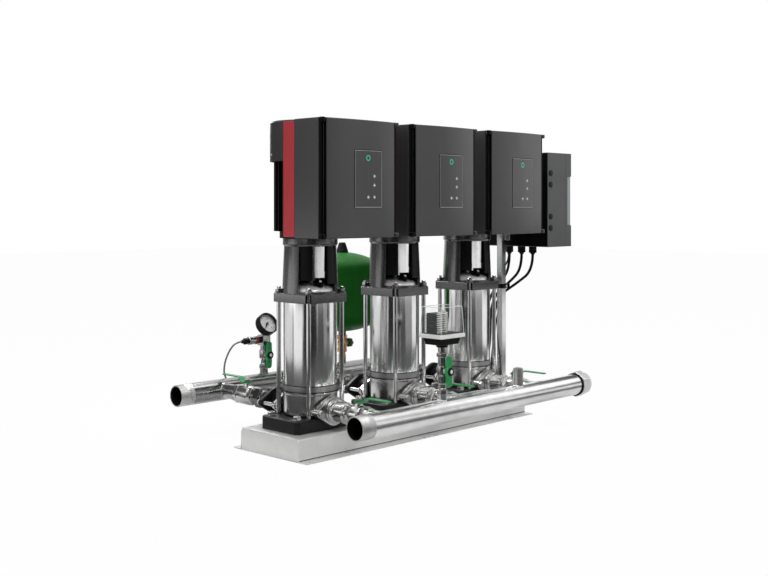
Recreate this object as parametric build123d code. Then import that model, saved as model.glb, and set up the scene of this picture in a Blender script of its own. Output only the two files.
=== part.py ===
"""Booster pump set: three vertical multistage pumps on one base frame, each with its own speed
drive, joined by a suction and a discharge manifold, with tank, gauge, switch and cabinet.

Millimetres. The origin is the centre of the base frame's underside. +X runs along the row of
pumps towards the control cabinet, +Y towards the suction manifold behind, and +Z is up.
"""

import os
from math import atan2, cos, pi, radians, sin, sqrt, tan

from build123d import *

# Row of pumps
PUMP_COUNT = 3
PUMP_PITCH = 320.0

# Running clearances and joints between pieces
BEARING_CLEARANCE = 0.08
BOLT_CLEARANCE = 0.5
BODY_CLEARANCE = 0.3
IMPELLER_CLEARANCE = 3.0

# Base frame: folded sheet channel
FRAME_END_MARGIN = 30.0
FRAME_WIDTH = 226.0
FRAME_HEIGHT = 57.0
FRAME_SHEET = 3.0
LIP_WIDTH = 30.0
ANCHOR_HOLE_R = 5.5
ANCHOR_END_INSET = 30.0
ANCHOR_WEB_INSET = 16.0
CORNER_RELIEF_R = 4.0

# Pump foot
FOOT_LENGTH = 220.0
FOOT_DEPTH = 145.0
FOOT_HEIGHT = 33.0
FOOT_CORNER = 10.0
FOOT_BOLT_X = 90.0
FOOT_BOLT_Y = 50.0
FOOT_BOLT_R = 6.0

# Lower pump casing and its ports
PORT_HEIGHT = 50.0
PORT_FACE = 84.0
PORT_BORE_R = 16.0
NECK_R = 21.0
CASING_R = 71.0
CASING_HEIGHT = 63.0
CASING_WALL = 4.0
CASING_RIM_R = 72.5
DUCT_RING_R = 44.0
DUCT_WALL = 3.0
FLANGE_THICKNESS = 10.0
FLANGE_HEIGHT = 74.0
FLANGE_BOLT_X = 50.0
FLANGE_TIP_R = 11.0
FLANGE_BOLT_R = 5.0

# Sleeve, chamber stack and tie rods
SLEEVE_R = 70.0
SLEEVE_WALL = 2.0
SLEEVE_LENGTH = 229.0
SLEEVE_BAND_R = 72.3
SLEEVE_BAND_HEIGHT = 12.0
STACK_R = 60.0
STAGE_COUNT = 4
STAGE_PITCH = 50.0
STAGE_EYE_R = 20.0
IMPELLER_R = 45.0
IMPELLER_HEIGHT = 22.0
TIE_ROD_R = 6.0
TIE_ROD_OFFSET = 58.0
TIE_ROD_SOCKET = 15.0
NUT_HEIGHT = 10.0
NUT_FLATS = 19.0
WASHER_R = 11.0
WASHER_HEIGHT = 2.0

# Pump head and motor stool
HEAD_WIDTH = 146.0
HEAD_CORNER_REACH = 95.0
HEAD_HEIGHT = 23.0
HEAD_BORE_R = 55.0
STOOL_FOOT_R = 74.0
STOOL_NECK_R = 68.0
STOOL_BORE_R = 62.0
STOOL_WALL_HEIGHT = 122.0
STOOL_CURB = 6.0
STOOL_COLLAR_R = 72.0
STOOL_COLLAR_HEIGHT = 21.0
WINDOW_HALF_ANGLE = 67.5
GUARD_SHEET = 1.2
GUARD_HEIGHT = 87.0
HEAD_COVER_HEIGHT = 25.0
COUPLING_R = 22.0
COUPLING_LENGTH = 66.0

# Motor
MOTOR_FLANGE_R = 80.0
MOTOR_FLANGE_HEIGHT = 18.0
MOTOR_BODY_R = 82.0
MOTOR_FIN_R = 95.0
MOTOR_FIN_THICKNESS = 3.4
MOTOR_FIN_COUNT = 30
MOTOR_HEIGHT = 180.0
MOTOR_END_WALL = 8.0
STATOR_BORE_R = 46.0
ROTOR_CORE_R = 45.0
SHAFT_R = 8.0
MOTOR_SHAFT_R = 12.0
FAN_COVER_R = 105.0
FAN_COVER_HEIGHT = 104.0
FAN_COVER_WALL = 2.5
FAN_SLOT_COUNT = 18
FAN_SLOT_WIDTH = 5.0
FAN_SLOT_INNER_R = 24.0
FAN_SLOT_OUTER_R = 64.0
FAN_R = 62.0
FAN_BLADE_COUNT = 7
FAN_BLADE_HEIGHT = 36.0

# Speed drive on the front of each motor
DRIVE_SEAT = 70.0
DRIVE_BASE_BACK = 47.0
DRIVE_BASE_FRONT = 91.0
DRIVE_BASE_HALF_WIDTH = 136.0
DRIVE_BASE_BOTTOM = 554.0
DRIVE_BASE_HEIGHT = 287.0
DRIVE_HALF_WIDTH = 136.5
DRIVE_BOTTOM = 551.0
DRIVE_HEIGHT = 295.0
DRIVE_DEPTH = 106.0
DRIVE_FRONT_SAG = 7.0
DRIVE_WALL = 3.0
CORNER_GROOVE_WIDTH = 17.0
CORNER_GROOVE_DEPTH = 10.0
CORNER_SCREW_R = 7.0
CORNER_SCREW_HEIGHT = 11.0
PANEL_LEFT = -30.0
PANEL_WIDTH = 98.0
PANEL_BOTTOM = 627.0
PANEL_HEIGHT = 143.0
PANEL_THICKNESS = 1.2
BOARD_STANDOFF = 10.0
BOARD_THICKNESS = 2.0

# Discharge line, from the pump's port to the manifold
CHECK_LENGTH = 68.0
CHECK_FLANGE_R = 30.0
CHECK_BODY_R = 26.0
CHECK_CHAMBER_R = 20.0
POPPET_R = 18.5
POPPET_STEM_R = 3.0
POPPET_TRAVEL = 8.0
DISCHARGE_VALVE_LENGTH = 58.0
DISCHARGE_NECK_LENGTH = 53.0

# Suction line, from the manifold to the pump's port
SUCTION_FLANGE_LENGTH = 57.0
NIPPLE_LENGTH = 43.0
UNION_LENGTH = 38.0
UNION_FLATS = 52.0
SUCTION_VALVE_LENGTH = 74.0
SUCTION_NECK_LENGTH = 55.0

# Ball valves
VALVE_END_FLATS = 48.0
VALVE_END_LENGTH = 13.0
VALVE_BODY_R = 27.0
BALL_R = 22.0
STEM_R = 5.0
STEM_BOSS_R = 10.0
STEM_BOSS_TOP = 34.0
LEVER_LENGTH = 108.0
LEVER_RISE = 12.0
LEVER_THICKNESS = 3.5
LEVER_ROOT_WIDTH = 20.0
LEVER_TIP_WIDTH = 15.0
LEVER_NUT_FLATS = 14.0

# Manifolds
PIPE_R = 30.15
PIPE_WALL = 3.65
THREAD_STEP_R = 29.8
THREAD_STEP_LENGTH = 26.0
SUCTION_OPEN_END = -473.0
SUCTION_CLOSED_END = 470.0
DISCHARGE_OPEN_END = -445.0
DISCHARGE_CLOSED_END = 483.0
CAP_FLATS = 66.0
CAP_OVERHANG = 27.0
CAP_SKIRT = 20.0
SOCKET_HEIGHT = 14.0
BLIND_SOCKET_X = 187.0
BLIND_SOCKET_R = 14.0
BLIND_SOCKET_TOP = 47.0

# Gauge branch on the suction manifold
GAUGE_X = -160.0
BRANCH_R = 11.0
BRANCH_HANDLE_DROP = 82.0
GAUGE_BLOCK = 28.0
GAUGE_BLOCK_HEIGHT = 32.0
GAUGE_BRANCH_HEIGHT = 100.0
GAUGE_R = 33.0
GAUGE_DEPTH = 27.0
GAUGE_RIM = 3.0
GAUGE_TILT = 30.0
GAUGE_STEM = 24.0
NEEDLE_LENGTH = 22.0
TRANSMITTER_LENGTH = 70.0

# Cock handles
HANDLE_SPAN = 78.0
HANDLE_HUB_R = 13.0
HANDLE_TIP_R = 7.0
HANDLE_THICKNESS = 7.0
HANDLE_STANDOFF = 27.0

# Pressure switch branch on the discharge manifold
SWITCH_X = -133.0
SWITCH_BRANCH_HEIGHT = 120.0
SWITCH_HANDLE_DROP = 60.0
SWITCH_BASE_LENGTH = 68.0
SWITCH_BASE_WIDTH = 54.0
SWITCH_BASE_HEIGHT = 26.0
SWITCH_RIM_LENGTH = 96.0
SWITCH_RIM_WIDTH = 80.0
SWITCH_RIM_HEIGHT = 10.0
SWITCH_COVER_LENGTH = 88.0
SWITCH_COVER_WIDTH = 72.0
SWITCH_COVER_HEIGHT = 69.0
SWITCH_COVER_TAPER = 3.0
SWITCH_COVER_WALL = 2.5

# Diaphragm tank on the suction manifold
TANK_X = 161.0
TANK_R = 120.0
TANK_WALL = 2.0
TANK_BOTTOM = 236.0
TANK_HEIGHT = 250.0
TANK_DOME = 56.0
TANK_KNUCKLE_R = 35.0
TANK_NECK_R = 12.0
TANK_NECK_LENGTH = 12.0
TANK_VALVE_HEIGHT = 54.0
TANK_CAP_R = 20.0
TANK_CAP_HEIGHT = 31.0
TANK_CAP_SKIRT = 8.0
KNOB_R = 14.0
KNOB_LENGTH = 17.0

# Post and control cabinet
POST_SIDE = 20.0
POST_Y = -15.0
POST_TOP = 770.0
POST_BASE = 4.0
CLAMP_Z = 376.0
CLAMP_HEIGHT = 14.0
CABINET_GAP = 30.0
CABINET_DEPTH = 93.0
CABINET_FRONT = -163.0
CABINET_BACK = 130.0
CABINET_BOTTOM = 506.0
CABINET_HEIGHT = 290.0
CABINET_WALL = 2.5
DOOR_DEPTH = 32.0
DOOR_GAP = 0.3
HINGE_R = 4.0
HINGE_PIN_R = 1.8
HINGE_LENGTH = 15.0
DISPLAY_BOTTOM = 572.0
DISPLAY_HEIGHT = 152.0
DISPLAY_RECESS = 6.0
LATCH_R = 9.0
LATCH_INSET = 30.0
LATCH_RISE = 36.0
LATCH_CAM = 22.0
PLUG_R = 9.0
GLAND_R = 12.0
GLAND_HEIGHT = 25.0

# Cables
POWER_CABLE_R = 4.25
SIGNAL_CABLE_R = 2.6
GROMMET_R = 9.25
FOOT_GAP = 7.75

# Levels and stations that follow from the sizes above
FRAME_LENGTH = PUMP_PITCH * (PUMP_COUNT - 1) + FOOT_LENGTH + 2 * FRAME_END_MARGIN
FOOT_TOP = FRAME_HEIGHT + FOOT_HEIGHT
PORT_Z = FRAME_HEIGHT + PORT_HEIGHT
CASING_TOP = FOOT_TOP + CASING_HEIGHT
HEAD_BOTTOM = CASING_TOP + SLEEVE_LENGTH
HEAD_TOP = HEAD_BOTTOM + HEAD_HEIGHT
STOOL_WALL_TOP = HEAD_TOP + STOOL_WALL_HEIGHT
STOOL_TOP = STOOL_WALL_TOP + STOOL_COLLAR_HEIGHT
MOTOR_BOTTOM = STOOL_TOP + MOTOR_FLANGE_HEIGHT
MOTOR_TOP = MOTOR_BOTTOM + MOTOR_HEIGHT
FAN_COVER_TOP = MOTOR_TOP + FAN_COVER_HEIGHT
DRIVE_FRONT = DRIVE_BASE_FRONT + DRIVE_DEPTH
DISCHARGE_VALVE_START = PORT_FACE + CHECK_LENGTH
DISCHARGE_VALVE_END = DISCHARGE_VALVE_START + DISCHARGE_VALVE_LENGTH
DISCHARGE_Y = -(DISCHARGE_VALVE_END + DISCHARGE_NECK_LENGTH + PIPE_R)
DISCHARGE_STEM_Y = -(DISCHARGE_VALVE_START + DISCHARGE_VALVE_LENGTH / 2)
SUCTION_VALVE_START = PORT_FACE + SUCTION_FLANGE_LENGTH + NIPPLE_LENGTH + UNION_LENGTH
SUCTION_VALVE_END = SUCTION_VALVE_START + SUCTION_VALVE_LENGTH
SUCTION_Y = SUCTION_VALVE_END + SUCTION_NECK_LENGTH + PIPE_R
SUCTION_STEM_Y = SUCTION_VALVE_START + SUCTION_VALVE_LENGTH / 2
PIPE_TOP = PORT_Z + PIPE_R
SOCKET_TOP = PIPE_TOP + SOCKET_HEIGHT
POST_X = FRAME_LENGTH / 2 + POST_SIDE / 2
CABINET_LEFT = FRAME_LENGTH / 2 + POST_SIDE + CABINET_GAP
CABINET_RIGHT = CABINET_LEFT + CABINET_DEPTH
CABINET_TOP = CABINET_BOTTOM + CABINET_HEIGHT
DOOR_RIGHT = CABINET_RIGHT + DOOR_GAP + DOOR_DEPTH
SHAFT_BOTTOM = FOOT_TOP + 12

pump_x = [(i - (PUMP_COUNT - 1) / 2) * PUMP_PITCH for i in range(PUMP_COUNT)]

os.makedirs("parts", exist_ok=True)


# Shared forms
def turned(profile, axis_start=(0, 0, 0), axis_direction=(0, 0, 1)):
    """Turned piece: (radius, distance along the axis) points, revolved and set on its axis."""
    face = make_face(Plane.XZ * Polyline(*profile, close=True))
    return Plane(origin=axis_start, z_dir=axis_direction) * revolve(face, Axis.Z)


def bar(start, end, radius):
    """Round bar between two points."""
    direction = Vector(*end) - Vector(*start)
    return Solid.make_cylinder(radius, direction.length, Plane(origin=start, z_dir=direction))


def hexagon(start, direction, flats, length):
    """Hexagonal bar with its across-flats size."""
    outline = RegularPolygon(flats / sqrt(3), 6)
    return Plane(origin=start, z_dir=direction) * extrude(outline, length)


def block(low, high):
    """Box between its lowest and highest corners."""
    size = [top - bottom for bottom, top in zip(low, high)]
    return Pos(*low) * Box(*size, align=(Align.MIN, Align.MIN, Align.MIN))


def oval_flange(face_y, direction, thickness, bolt_hole):
    """Two-bolt oval flange with its face at face_y and its body behind it."""
    outline = Circle(FLANGE_HEIGHT / 2)
    tips = [Pos(side * FLANGE_BOLT_X, 0) * Circle(FLANGE_TIP_R) for side in (-1, 1)]
    outline = make_hull((outline + tips).edges())
    outline -= [Pos(side * FLANGE_BOLT_X, 0) * Circle(bolt_hole) for side in (-1, 1)]
    plane = Plane(origin=(0, face_y, PORT_Z), x_dir=(1, 0, 0), z_dir=(0, direction, 0))
    return plane * extrude(outline, thickness)


def at_each_pump(make):
    """One copy of a piece, or of a list of pieces, on every pump's axis."""
    pieces = make()
    pieces = pieces if isinstance(pieces, list) else [pieces]
    return [Pos(x, 0, 0) * piece for x in pump_x for piece in pieces]


def cable(name, route, radius):
    """Cable of straight runs joined by tangent arcs as large as its shorter run allows."""
    points = [Vector(*point) for point in route]
    radii = []
    for before, corner, after in zip(points, points[1:], points[2:]):
        arriving = corner - before
        leaving = after - corner
        turn = radians(arriving.get_angle(leaving))
        radii.append(0.45 * min(arriving.length, leaving.length) / tan(turn / 2))
    path = FilletPolyline(*points, radius=radii)
    start = Plane(origin=path @ 0, z_dir=path % 0)
    solid = sweep(start * Circle(radius), path=path)
    expected = pi * radius**2 * path.length
    print(name, "radii", [round(r) for r in radii], "length", round(path.length),
          "volume share", round(solid.volume / expected, 4))
    return solid


def save(node, *solids):
    """Write one node's separate solids to its STEP file."""
    flat = []
    for solid in solids:
        flat.extend(solid if isinstance(solid, list) else [solid])
    shapes = [part for solid in flat for part in solid.solids()]
    for shape in shapes:
        shape.label = node
    whole = shapes[0] if len(shapes) == 1 else Compound(children=shapes, label=node)
    export_step(whole, f"parts/{node}.step")


# Base frame
def base_frame():
    """Channel folded from sheet with bolting lips, and the two plates welded into its ends."""
    half = FRAME_WIDTH / 2
    outline = Pos(0, FRAME_HEIGHT / 2) * Rectangle(FRAME_WIDTH, FRAME_HEIGHT)
    outline = fillet(outline.vertices().group_by(Axis.Y)[-1], FRAME_SHEET * 1.5)
    inner_height = FRAME_HEIGHT - FRAME_SHEET
    hollow = Pos(0, inner_height / 2) * Rectangle(FRAME_WIDTH - 2 * FRAME_SHEET, inner_height)
    hollow = fillet(hollow.vertices().group_by(Axis.Y)[-1], FRAME_SHEET / 2)
    profile = outline - hollow
    for side in (-1, 1):
        profile += Pos(side * (half + LIP_WIDTH / 2), FRAME_SHEET / 2) * Rectangle(
            LIP_WIDTH, FRAME_SHEET)
    channel = extrude(Plane.YZ * profile, FRAME_LENGTH / 2, both=True)
    mouth = Pos(0, inner_height / 2) * Rectangle(FRAME_WIDTH - 2 * FRAME_SHEET, inner_height)
    mouth = fillet(mouth.vertices().group_by(Axis.Y)[-1], FRAME_SHEET)
    end_plate = extrude(Plane.YZ * mouth, FRAME_SHEET)
    anchor_y = half + ANCHOR_WEB_INSET
    anchor_x = FRAME_LENGTH / 2 - ANCHOR_END_INSET
    for x in (-anchor_x, 0, anchor_x):
        for y in (-anchor_y, anchor_y):
            channel -= bar((x, y, -1), (x, y, FRAME_SHEET + 1), ANCHOR_HOLE_R)
    for x in pump_x:
        for bolt_x, bolt_y in foot_bolt_places():
            top = (x + bolt_x, bolt_y, FRAME_HEIGHT + 1)
            bottom = (x + bolt_x, bolt_y, FRAME_HEIGHT - FRAME_SHEET - 1)
            channel -= bar(bottom, top, FOOT_BOLT_R + BOLT_CLEARANCE)
    for end in (-1, 1):
        for side in (-1, 1):
            corner = (end * FRAME_LENGTH / 2, side * half)
            channel -= bar((*corner, FRAME_HEIGHT - 6), (*corner, FRAME_HEIGHT + 1), CORNER_RELIEF_R)
    for start, direction, radius in grommet_places():
        inside = Vector(*start) - Vector(*direction) * (2 * FRAME_SHEET)
        outside = Vector(*start) + Vector(*direction)
        channel -= bar(tuple(inside), tuple(outside), radius + 2)
    return [channel, Pos(-FRAME_LENGTH / 2, 0, 0) * end_plate,
            Pos(FRAME_LENGTH / 2 - FRAME_SHEET, 0, 0) * end_plate]


def foot_bolt_places():
    """Bolt centres of one pump foot."""
    return [(x, y) for x in (-FOOT_BOLT_X, FOOT_BOLT_X) for y in (-FOOT_BOLT_Y, FOOT_BOLT_Y)]


def tie_rod_places():
    """Centres of one pump's four tie rods."""
    sides = (-TIE_ROD_OFFSET, TIE_ROD_OFFSET)
    return [(x, y) for x in sides for y in sides]


# Pump hydraulics
def pump_foot():
    """Cast foot with cut corners, saddles under the ports and sockets for the tie rods."""
    outline = chamfer(Rectangle(FOOT_LENGTH, FOOT_DEPTH).vertices(), FOOT_CORNER)
    foot = Pos(0, 0, FRAME_HEIGHT) * extrude(outline, FOOT_HEIGHT)
    foot = chamfer(foot.faces().sort_by(Axis.Z)[-1].edges(), 2)
    for x, y in foot_bolt_places():
        foot -= bar((x, y, FRAME_HEIGHT - 1), (x, y, FOOT_TOP + 1), FOOT_BOLT_R + BOLT_CLEARANCE)
    for x, y in tie_rod_places():
        foot -= bar((x, y, FOOT_TOP - TIE_ROD_SOCKET), (x, y, FOOT_TOP + 1), TIE_ROD_R + 0.1)
    for side in (-1, 1):
        start = (0, side * (CASING_R - 10), PORT_Z)
        foot -= bar(start, (0, side * (PORT_FACE + 1), PORT_Z), NECK_R + 0.5)
        foot -= block((-20, min(side * 60, side * 90), PORT_Z), (20, max(side * 60, side * 90), PORT_Z + 1))
    return foot


def pump_casing():
    """Lower casing: a cup with two flanged ports, an inlet duct ring and the shaft's foot bearing."""
    floor = FOOT_TOP + 8
    inner = CASING_R - CASING_WALL
    cup = turned([
        (0, FOOT_TOP), (CASING_R - 5, FOOT_TOP), (CASING_R, FOOT_TOP + 6),
        (CASING_R, CASING_TOP - 7), (CASING_RIM_R, CASING_TOP - 5), (CASING_RIM_R, CASING_TOP),
        (inner, CASING_TOP), (inner, floor), (0, floor),
    ])
    for side in (-1, 1):
        cup += bar((0, side * (inner - 2), PORT_Z), (0, side * PORT_FACE, PORT_Z), NECK_R)
        cup += oval_flange(side * PORT_FACE, -side, FLANGE_THICKNESS, FLANGE_BOLT_R + BOLT_CLEARANCE)
    duct_inner = DUCT_RING_R - CASING_WALL
    cup += turned([(duct_inner, floor), (DUCT_RING_R, floor),
                   (DUCT_RING_R, CASING_TOP), (duct_inner, CASING_TOP)])
    duct = bar((0, duct_inner - 12, PORT_Z), (0, inner + 2, PORT_Z), PORT_BORE_R + DUCT_WALL)
    duct -= bar((0, 0, floor - 1), (0, 0, CASING_TOP), duct_inner + DUCT_WALL / 2)
    cup += duct & block((-NECK_R, 0, floor - 1), (NECK_R, PORT_FACE, CASING_TOP))
    cup += turned([(0, floor), (SHAFT_R + 6, floor), (SHAFT_R + 6, floor + 12), (0, floor + 12)])
    cup -= bar((0, duct_inner - 14, PORT_Z), (0, PORT_FACE + 1, PORT_Z), PORT_BORE_R)
    cup -= bar((0, -DUCT_RING_R - 8, PORT_Z), (0, -PORT_FACE - 1, PORT_Z), PORT_BORE_R)
    cup -= bar((0, 0, floor), (0, 0, floor + 13), SHAFT_R + BEARING_CLEARANCE)
    return cup


def outer_sleeve():
    """Thin stainless sleeve with a rolled band above its lower edge."""
    inner = SLEEVE_R - SLEEVE_WALL
    band_top = CASING_TOP + 2 + SLEEVE_BAND_HEIGHT
    return turned([
        (inner, CASING_TOP), (SLEEVE_R, CASING_TOP), (SLEEVE_BAND_R, CASING_TOP + 2),
        (SLEEVE_BAND_R, band_top - 5), (SLEEVE_R + 1, band_top - 4), (SLEEVE_BAND_R, band_top - 3),
        (SLEEVE_BAND_R, band_top), (SLEEVE_R, band_top + 2), (SLEEVE_R, HEAD_BOTTOM),
        (inner, HEAD_BOTTOM),
    ])


def stage_levels():
    """Underside of each impeller, from the lowest stage up."""
    first = CASING_TOP + 16
    return [first + i * STAGE_PITCH for i in range(STAGE_COUNT)]


def chamber_stack():
    """Stacked pump chambers: one ring with an impeller space in every stage."""
    cavity_r = IMPELLER_R + IMPELLER_CLEARANCE
    inner = [(STAGE_EYE_R, CASING_TOP)]
    for low in stage_levels():
        inner += [(STAGE_EYE_R, low - IMPELLER_CLEARANCE), (cavity_r, low - IMPELLER_CLEARANCE),
                  (cavity_r, low + IMPELLER_HEIGHT + IMPELLER_CLEARANCE),
                  (STAGE_EYE_R, low + IMPELLER_HEIGHT + IMPELLER_CLEARANCE)]
    inner.append((STAGE_EYE_R, HEAD_BOTTOM))
    outer = [(STACK_R, HEAD_BOTTOM), (STACK_R, CASING_TOP)]
    return turned(inner + outer)


def tie_rods():
    """Four staybolts of one pump, each with its washer and nut on the head."""
    pieces = []
    for x, y in tie_rod_places():
        low = FOOT_TOP - TIE_ROD_SOCKET
        pieces.append(bar((x, y, low), (x, y, HEAD_TOP + WASHER_HEIGHT + NUT_HEIGHT + 2), TIE_ROD_R))
        washer = bar((x, y, HEAD_TOP), (x, y, HEAD_TOP + WASHER_HEIGHT), WASHER_R)
        nut = hexagon((x, y, HEAD_TOP + WASHER_HEIGHT), (0, 0, 1), NUT_FLATS, NUT_HEIGHT)
        hole = bar((x, y, HEAD_TOP - 1), (x, y, HEAD_TOP + 20), TIE_ROD_R)
        pieces += [washer + nut - hole]
    return pieces


# Pump head, stool and coupling guard
def motor_stool():
    """Cast head and stool: slotted square flange, tapered wall with two windows, and a collar."""
    half = HEAD_WIDTH / 2
    cut = 2 * half - HEAD_CORNER_REACH * sqrt(2)
    plate = extrude(chamfer(Rectangle(HEAD_WIDTH, HEAD_WIDTH).vertices(), cut), HEAD_HEIGHT)
    plate = Pos(0, 0, HEAD_BOTTOM) * plate
    wall = turned([(STOOL_BORE_R, HEAD_TOP), (STOOL_FOOT_R, HEAD_TOP),
                   (STOOL_NECK_R, STOOL_WALL_TOP), (STOOL_BORE_R, STOOL_WALL_TOP)])
    rear = (sin(radians(WINDOW_HALF_ANGLE)), cos(radians(WINDOW_HALF_ANGLE)))
    reach = 2 * STOOL_FOOT_R
    wedge = make_face(Polyline((0, 0), (-reach * rear[0], reach * rear[1]), (-reach, reach),
                               (reach, reach), (reach * rear[0], reach * rear[1]), close=True))
    wedge = Pos(0, 0, HEAD_TOP + STOOL_CURB) * extrude(wedge, STOOL_WALL_HEIGHT - STOOL_CURB)
    wall -= [wedge, mirror(wedge, Plane.XZ)]
    spot_top = HEAD_TOP + WASHER_HEIGHT + NUT_HEIGHT + 4
    for x, y in tie_rod_places():
        wall -= bar((x, y, HEAD_TOP), (x, y, spot_top), WASHER_R + 0.8)
    collar = turned([
        (STOOL_BORE_R - 14, STOOL_WALL_TOP), (STOOL_NECK_R, STOOL_WALL_TOP),
        (STOOL_COLLAR_R, STOOL_WALL_TOP + 5), (STOOL_COLLAR_R, STOOL_TOP),
        (STOOL_BORE_R - 14, STOOL_TOP),
    ])
    plate -= bar((0, 0, HEAD_BOTTOM - 1), (0, 0, HEAD_TOP + 1), HEAD_BORE_R)
    for x, y in tie_rod_places():
        slot = Box(40, 2 * (TIE_ROD_R + BOLT_CLEARANCE), HEAD_HEIGHT + 2)
        turn = 45 if x * y > 0 else -45
        turn += 0 if x > 0 else 180
        outward = Rot(0, 0, turn) * Pos(20, 0, 0) * slot
        plate -= Pos(x, y, HEAD_BOTTOM + HEAD_HEIGHT / 2) * outward
        plate -= bar((x, y, HEAD_BOTTOM - 1), (x, y, HEAD_TOP + 1), TIE_ROD_R + BOLT_CLEARANCE)
    return plate + wall + collar


def head_cover():
    """Domed stainless cover on the pump head, with the shaft seal's collar."""
    rim = STOOL_BORE_R - 0.5
    bore = SHAFT_R + BEARING_CLEARANCE
    return turned([
        (bore, HEAD_TOP), (rim, HEAD_TOP), (rim, HEAD_TOP + 4), (rim - 10, HEAD_TOP + 10),
        (SHAFT_R + 16, HEAD_TOP + 14), (SHAFT_R + 10, HEAD_TOP + HEAD_COVER_HEIGHT),
        (bore, HEAD_TOP + HEAD_COVER_HEIGHT),
    ])


def vent_plug():
    """Vent plug standing out of the head cover, just under the front guard."""
    start = Vector(-11, -41, HEAD_TOP + 12)
    lean = Vector(-0.16, -0.62, 0.77).normalized()
    boss = turned([(0, 0), (12, 0), (10, 10), (0, 10)], tuple(start), tuple(lean))
    cap_start = start + lean * 10
    cap = turned([(0, 0), (8, 0), (8, 10), (6, 13), (0, 13)], tuple(cap_start), tuple(lean))
    plug = boss + cap
    return plug - head_cover()


def coupling_guard(side):
    """Curved guard behind one stool window, hung from the collar; the front one has a plug notch."""
    outer = STOOL_BORE_R - BODY_CLEARANCE
    low = STOOL_WALL_TOP - GUARD_HEIGHT
    ring = turned([(outer - GUARD_SHEET, low), (outer, low),
                   (outer, STOOL_WALL_TOP), (outer - GUARD_SHEET, STOOL_WALL_TOP)])
    edge = outer * cos(radians(WINDOW_HALF_ANGLE + 4))
    keep_low, keep_high = sorted((side * edge, side * 2 * outer))
    guard = ring & block((-2 * outer, keep_low, low), (2 * outer, keep_high, STOOL_WALL_TOP))
    if side < 0:
        guard -= block((-34, -2 * outer, low - 1), (8, 0, low + 22))
    return guard


# Motor, fan and drive
def drive_side_cut(low, high):
    """Space in front of the plane on which the drive seats."""
    reach = 3 * FAN_COVER_R
    return block((-reach, -reach, low), (reach, -DRIVE_SEAT, high))


def motor_housing():
    """Finned motor housing with its flange, stator bore, end wall and flat drive seat."""
    bearing = MOTOR_SHAFT_R + BEARING_CLEARANCE
    fins = [Rot(0, 0, i * 360 / MOTOR_FIN_COUNT) * Pos(MOTOR_FIN_R - 9, 0) * Rectangle(
        18, MOTOR_FIN_THICKNESS) for i in range(MOTOR_FIN_COUNT)]
    section = Circle(MOTOR_BODY_R) + fins
    body = Pos(0, 0, MOTOR_BOTTOM) * extrude(section, MOTOR_HEIGHT)
    body += turned([(0, STOOL_TOP), (MOTOR_FLANGE_R, STOOL_TOP),
                    (MOTOR_FLANGE_R, MOTOR_BOTTOM), (0, MOTOR_BOTTOM)])
    body -= drive_side_cut(STOOL_TOP - 1, MOTOR_TOP + 1)
    body -= bar((0, 0, MOTOR_BOTTOM), (0, 0, MOTOR_TOP - MOTOR_END_WALL), STATOR_BORE_R)
    body -= bar((0, 0, STOOL_TOP - 1), (0, 0, MOTOR_TOP + 1), bearing)
    return body


def fan_cover():
    """Fan cover: a deep cup with a flat front, radial slots in its top and four seat lugs."""
    inner_r = FAN_COVER_R - FAN_COVER_WALL
    cover = bar((0, 0, MOTOR_TOP), (0, 0, FAN_COVER_TOP), FAN_COVER_R)
    cover = chamfer(cover.edges().sort_by(Axis.Z)[-1], 4)
    cover -= drive_side_cut(MOTOR_TOP - 1, FAN_COVER_TOP + 1)
    hollow = bar((0, 0, MOTOR_TOP - 1), (0, 0, FAN_COVER_TOP - FAN_COVER_WALL), inner_r)
    hollow -= block((-2 * inner_r, -2 * inner_r, 0),
                    (2 * inner_r, -DRIVE_SEAT + FAN_COVER_WALL, FAN_COVER_TOP))
    cover -= hollow
    length = FAN_SLOT_OUTER_R - FAN_SLOT_INNER_R
    slot = Pos(FAN_SLOT_INNER_R + length / 2, 0, FAN_COVER_TOP) * Box(
        length, FAN_SLOT_WIDTH, 6 * FAN_COVER_WALL)
    cover -= [Rot(0, 0, i * 360 / FAN_SLOT_COUNT) * slot for i in range(FAN_SLOT_COUNT)]
    lug_length = FAN_COVER_R - MOTOR_BODY_R - 1
    lug = Pos(MOTOR_BODY_R + lug_length / 2, 0, MOTOR_TOP + 3) * Box(lug_length, 14, 6)
    for turn in (24, 84, 156):
        cover += Rot(0, 0, turn) * lug
    return cover


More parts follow.
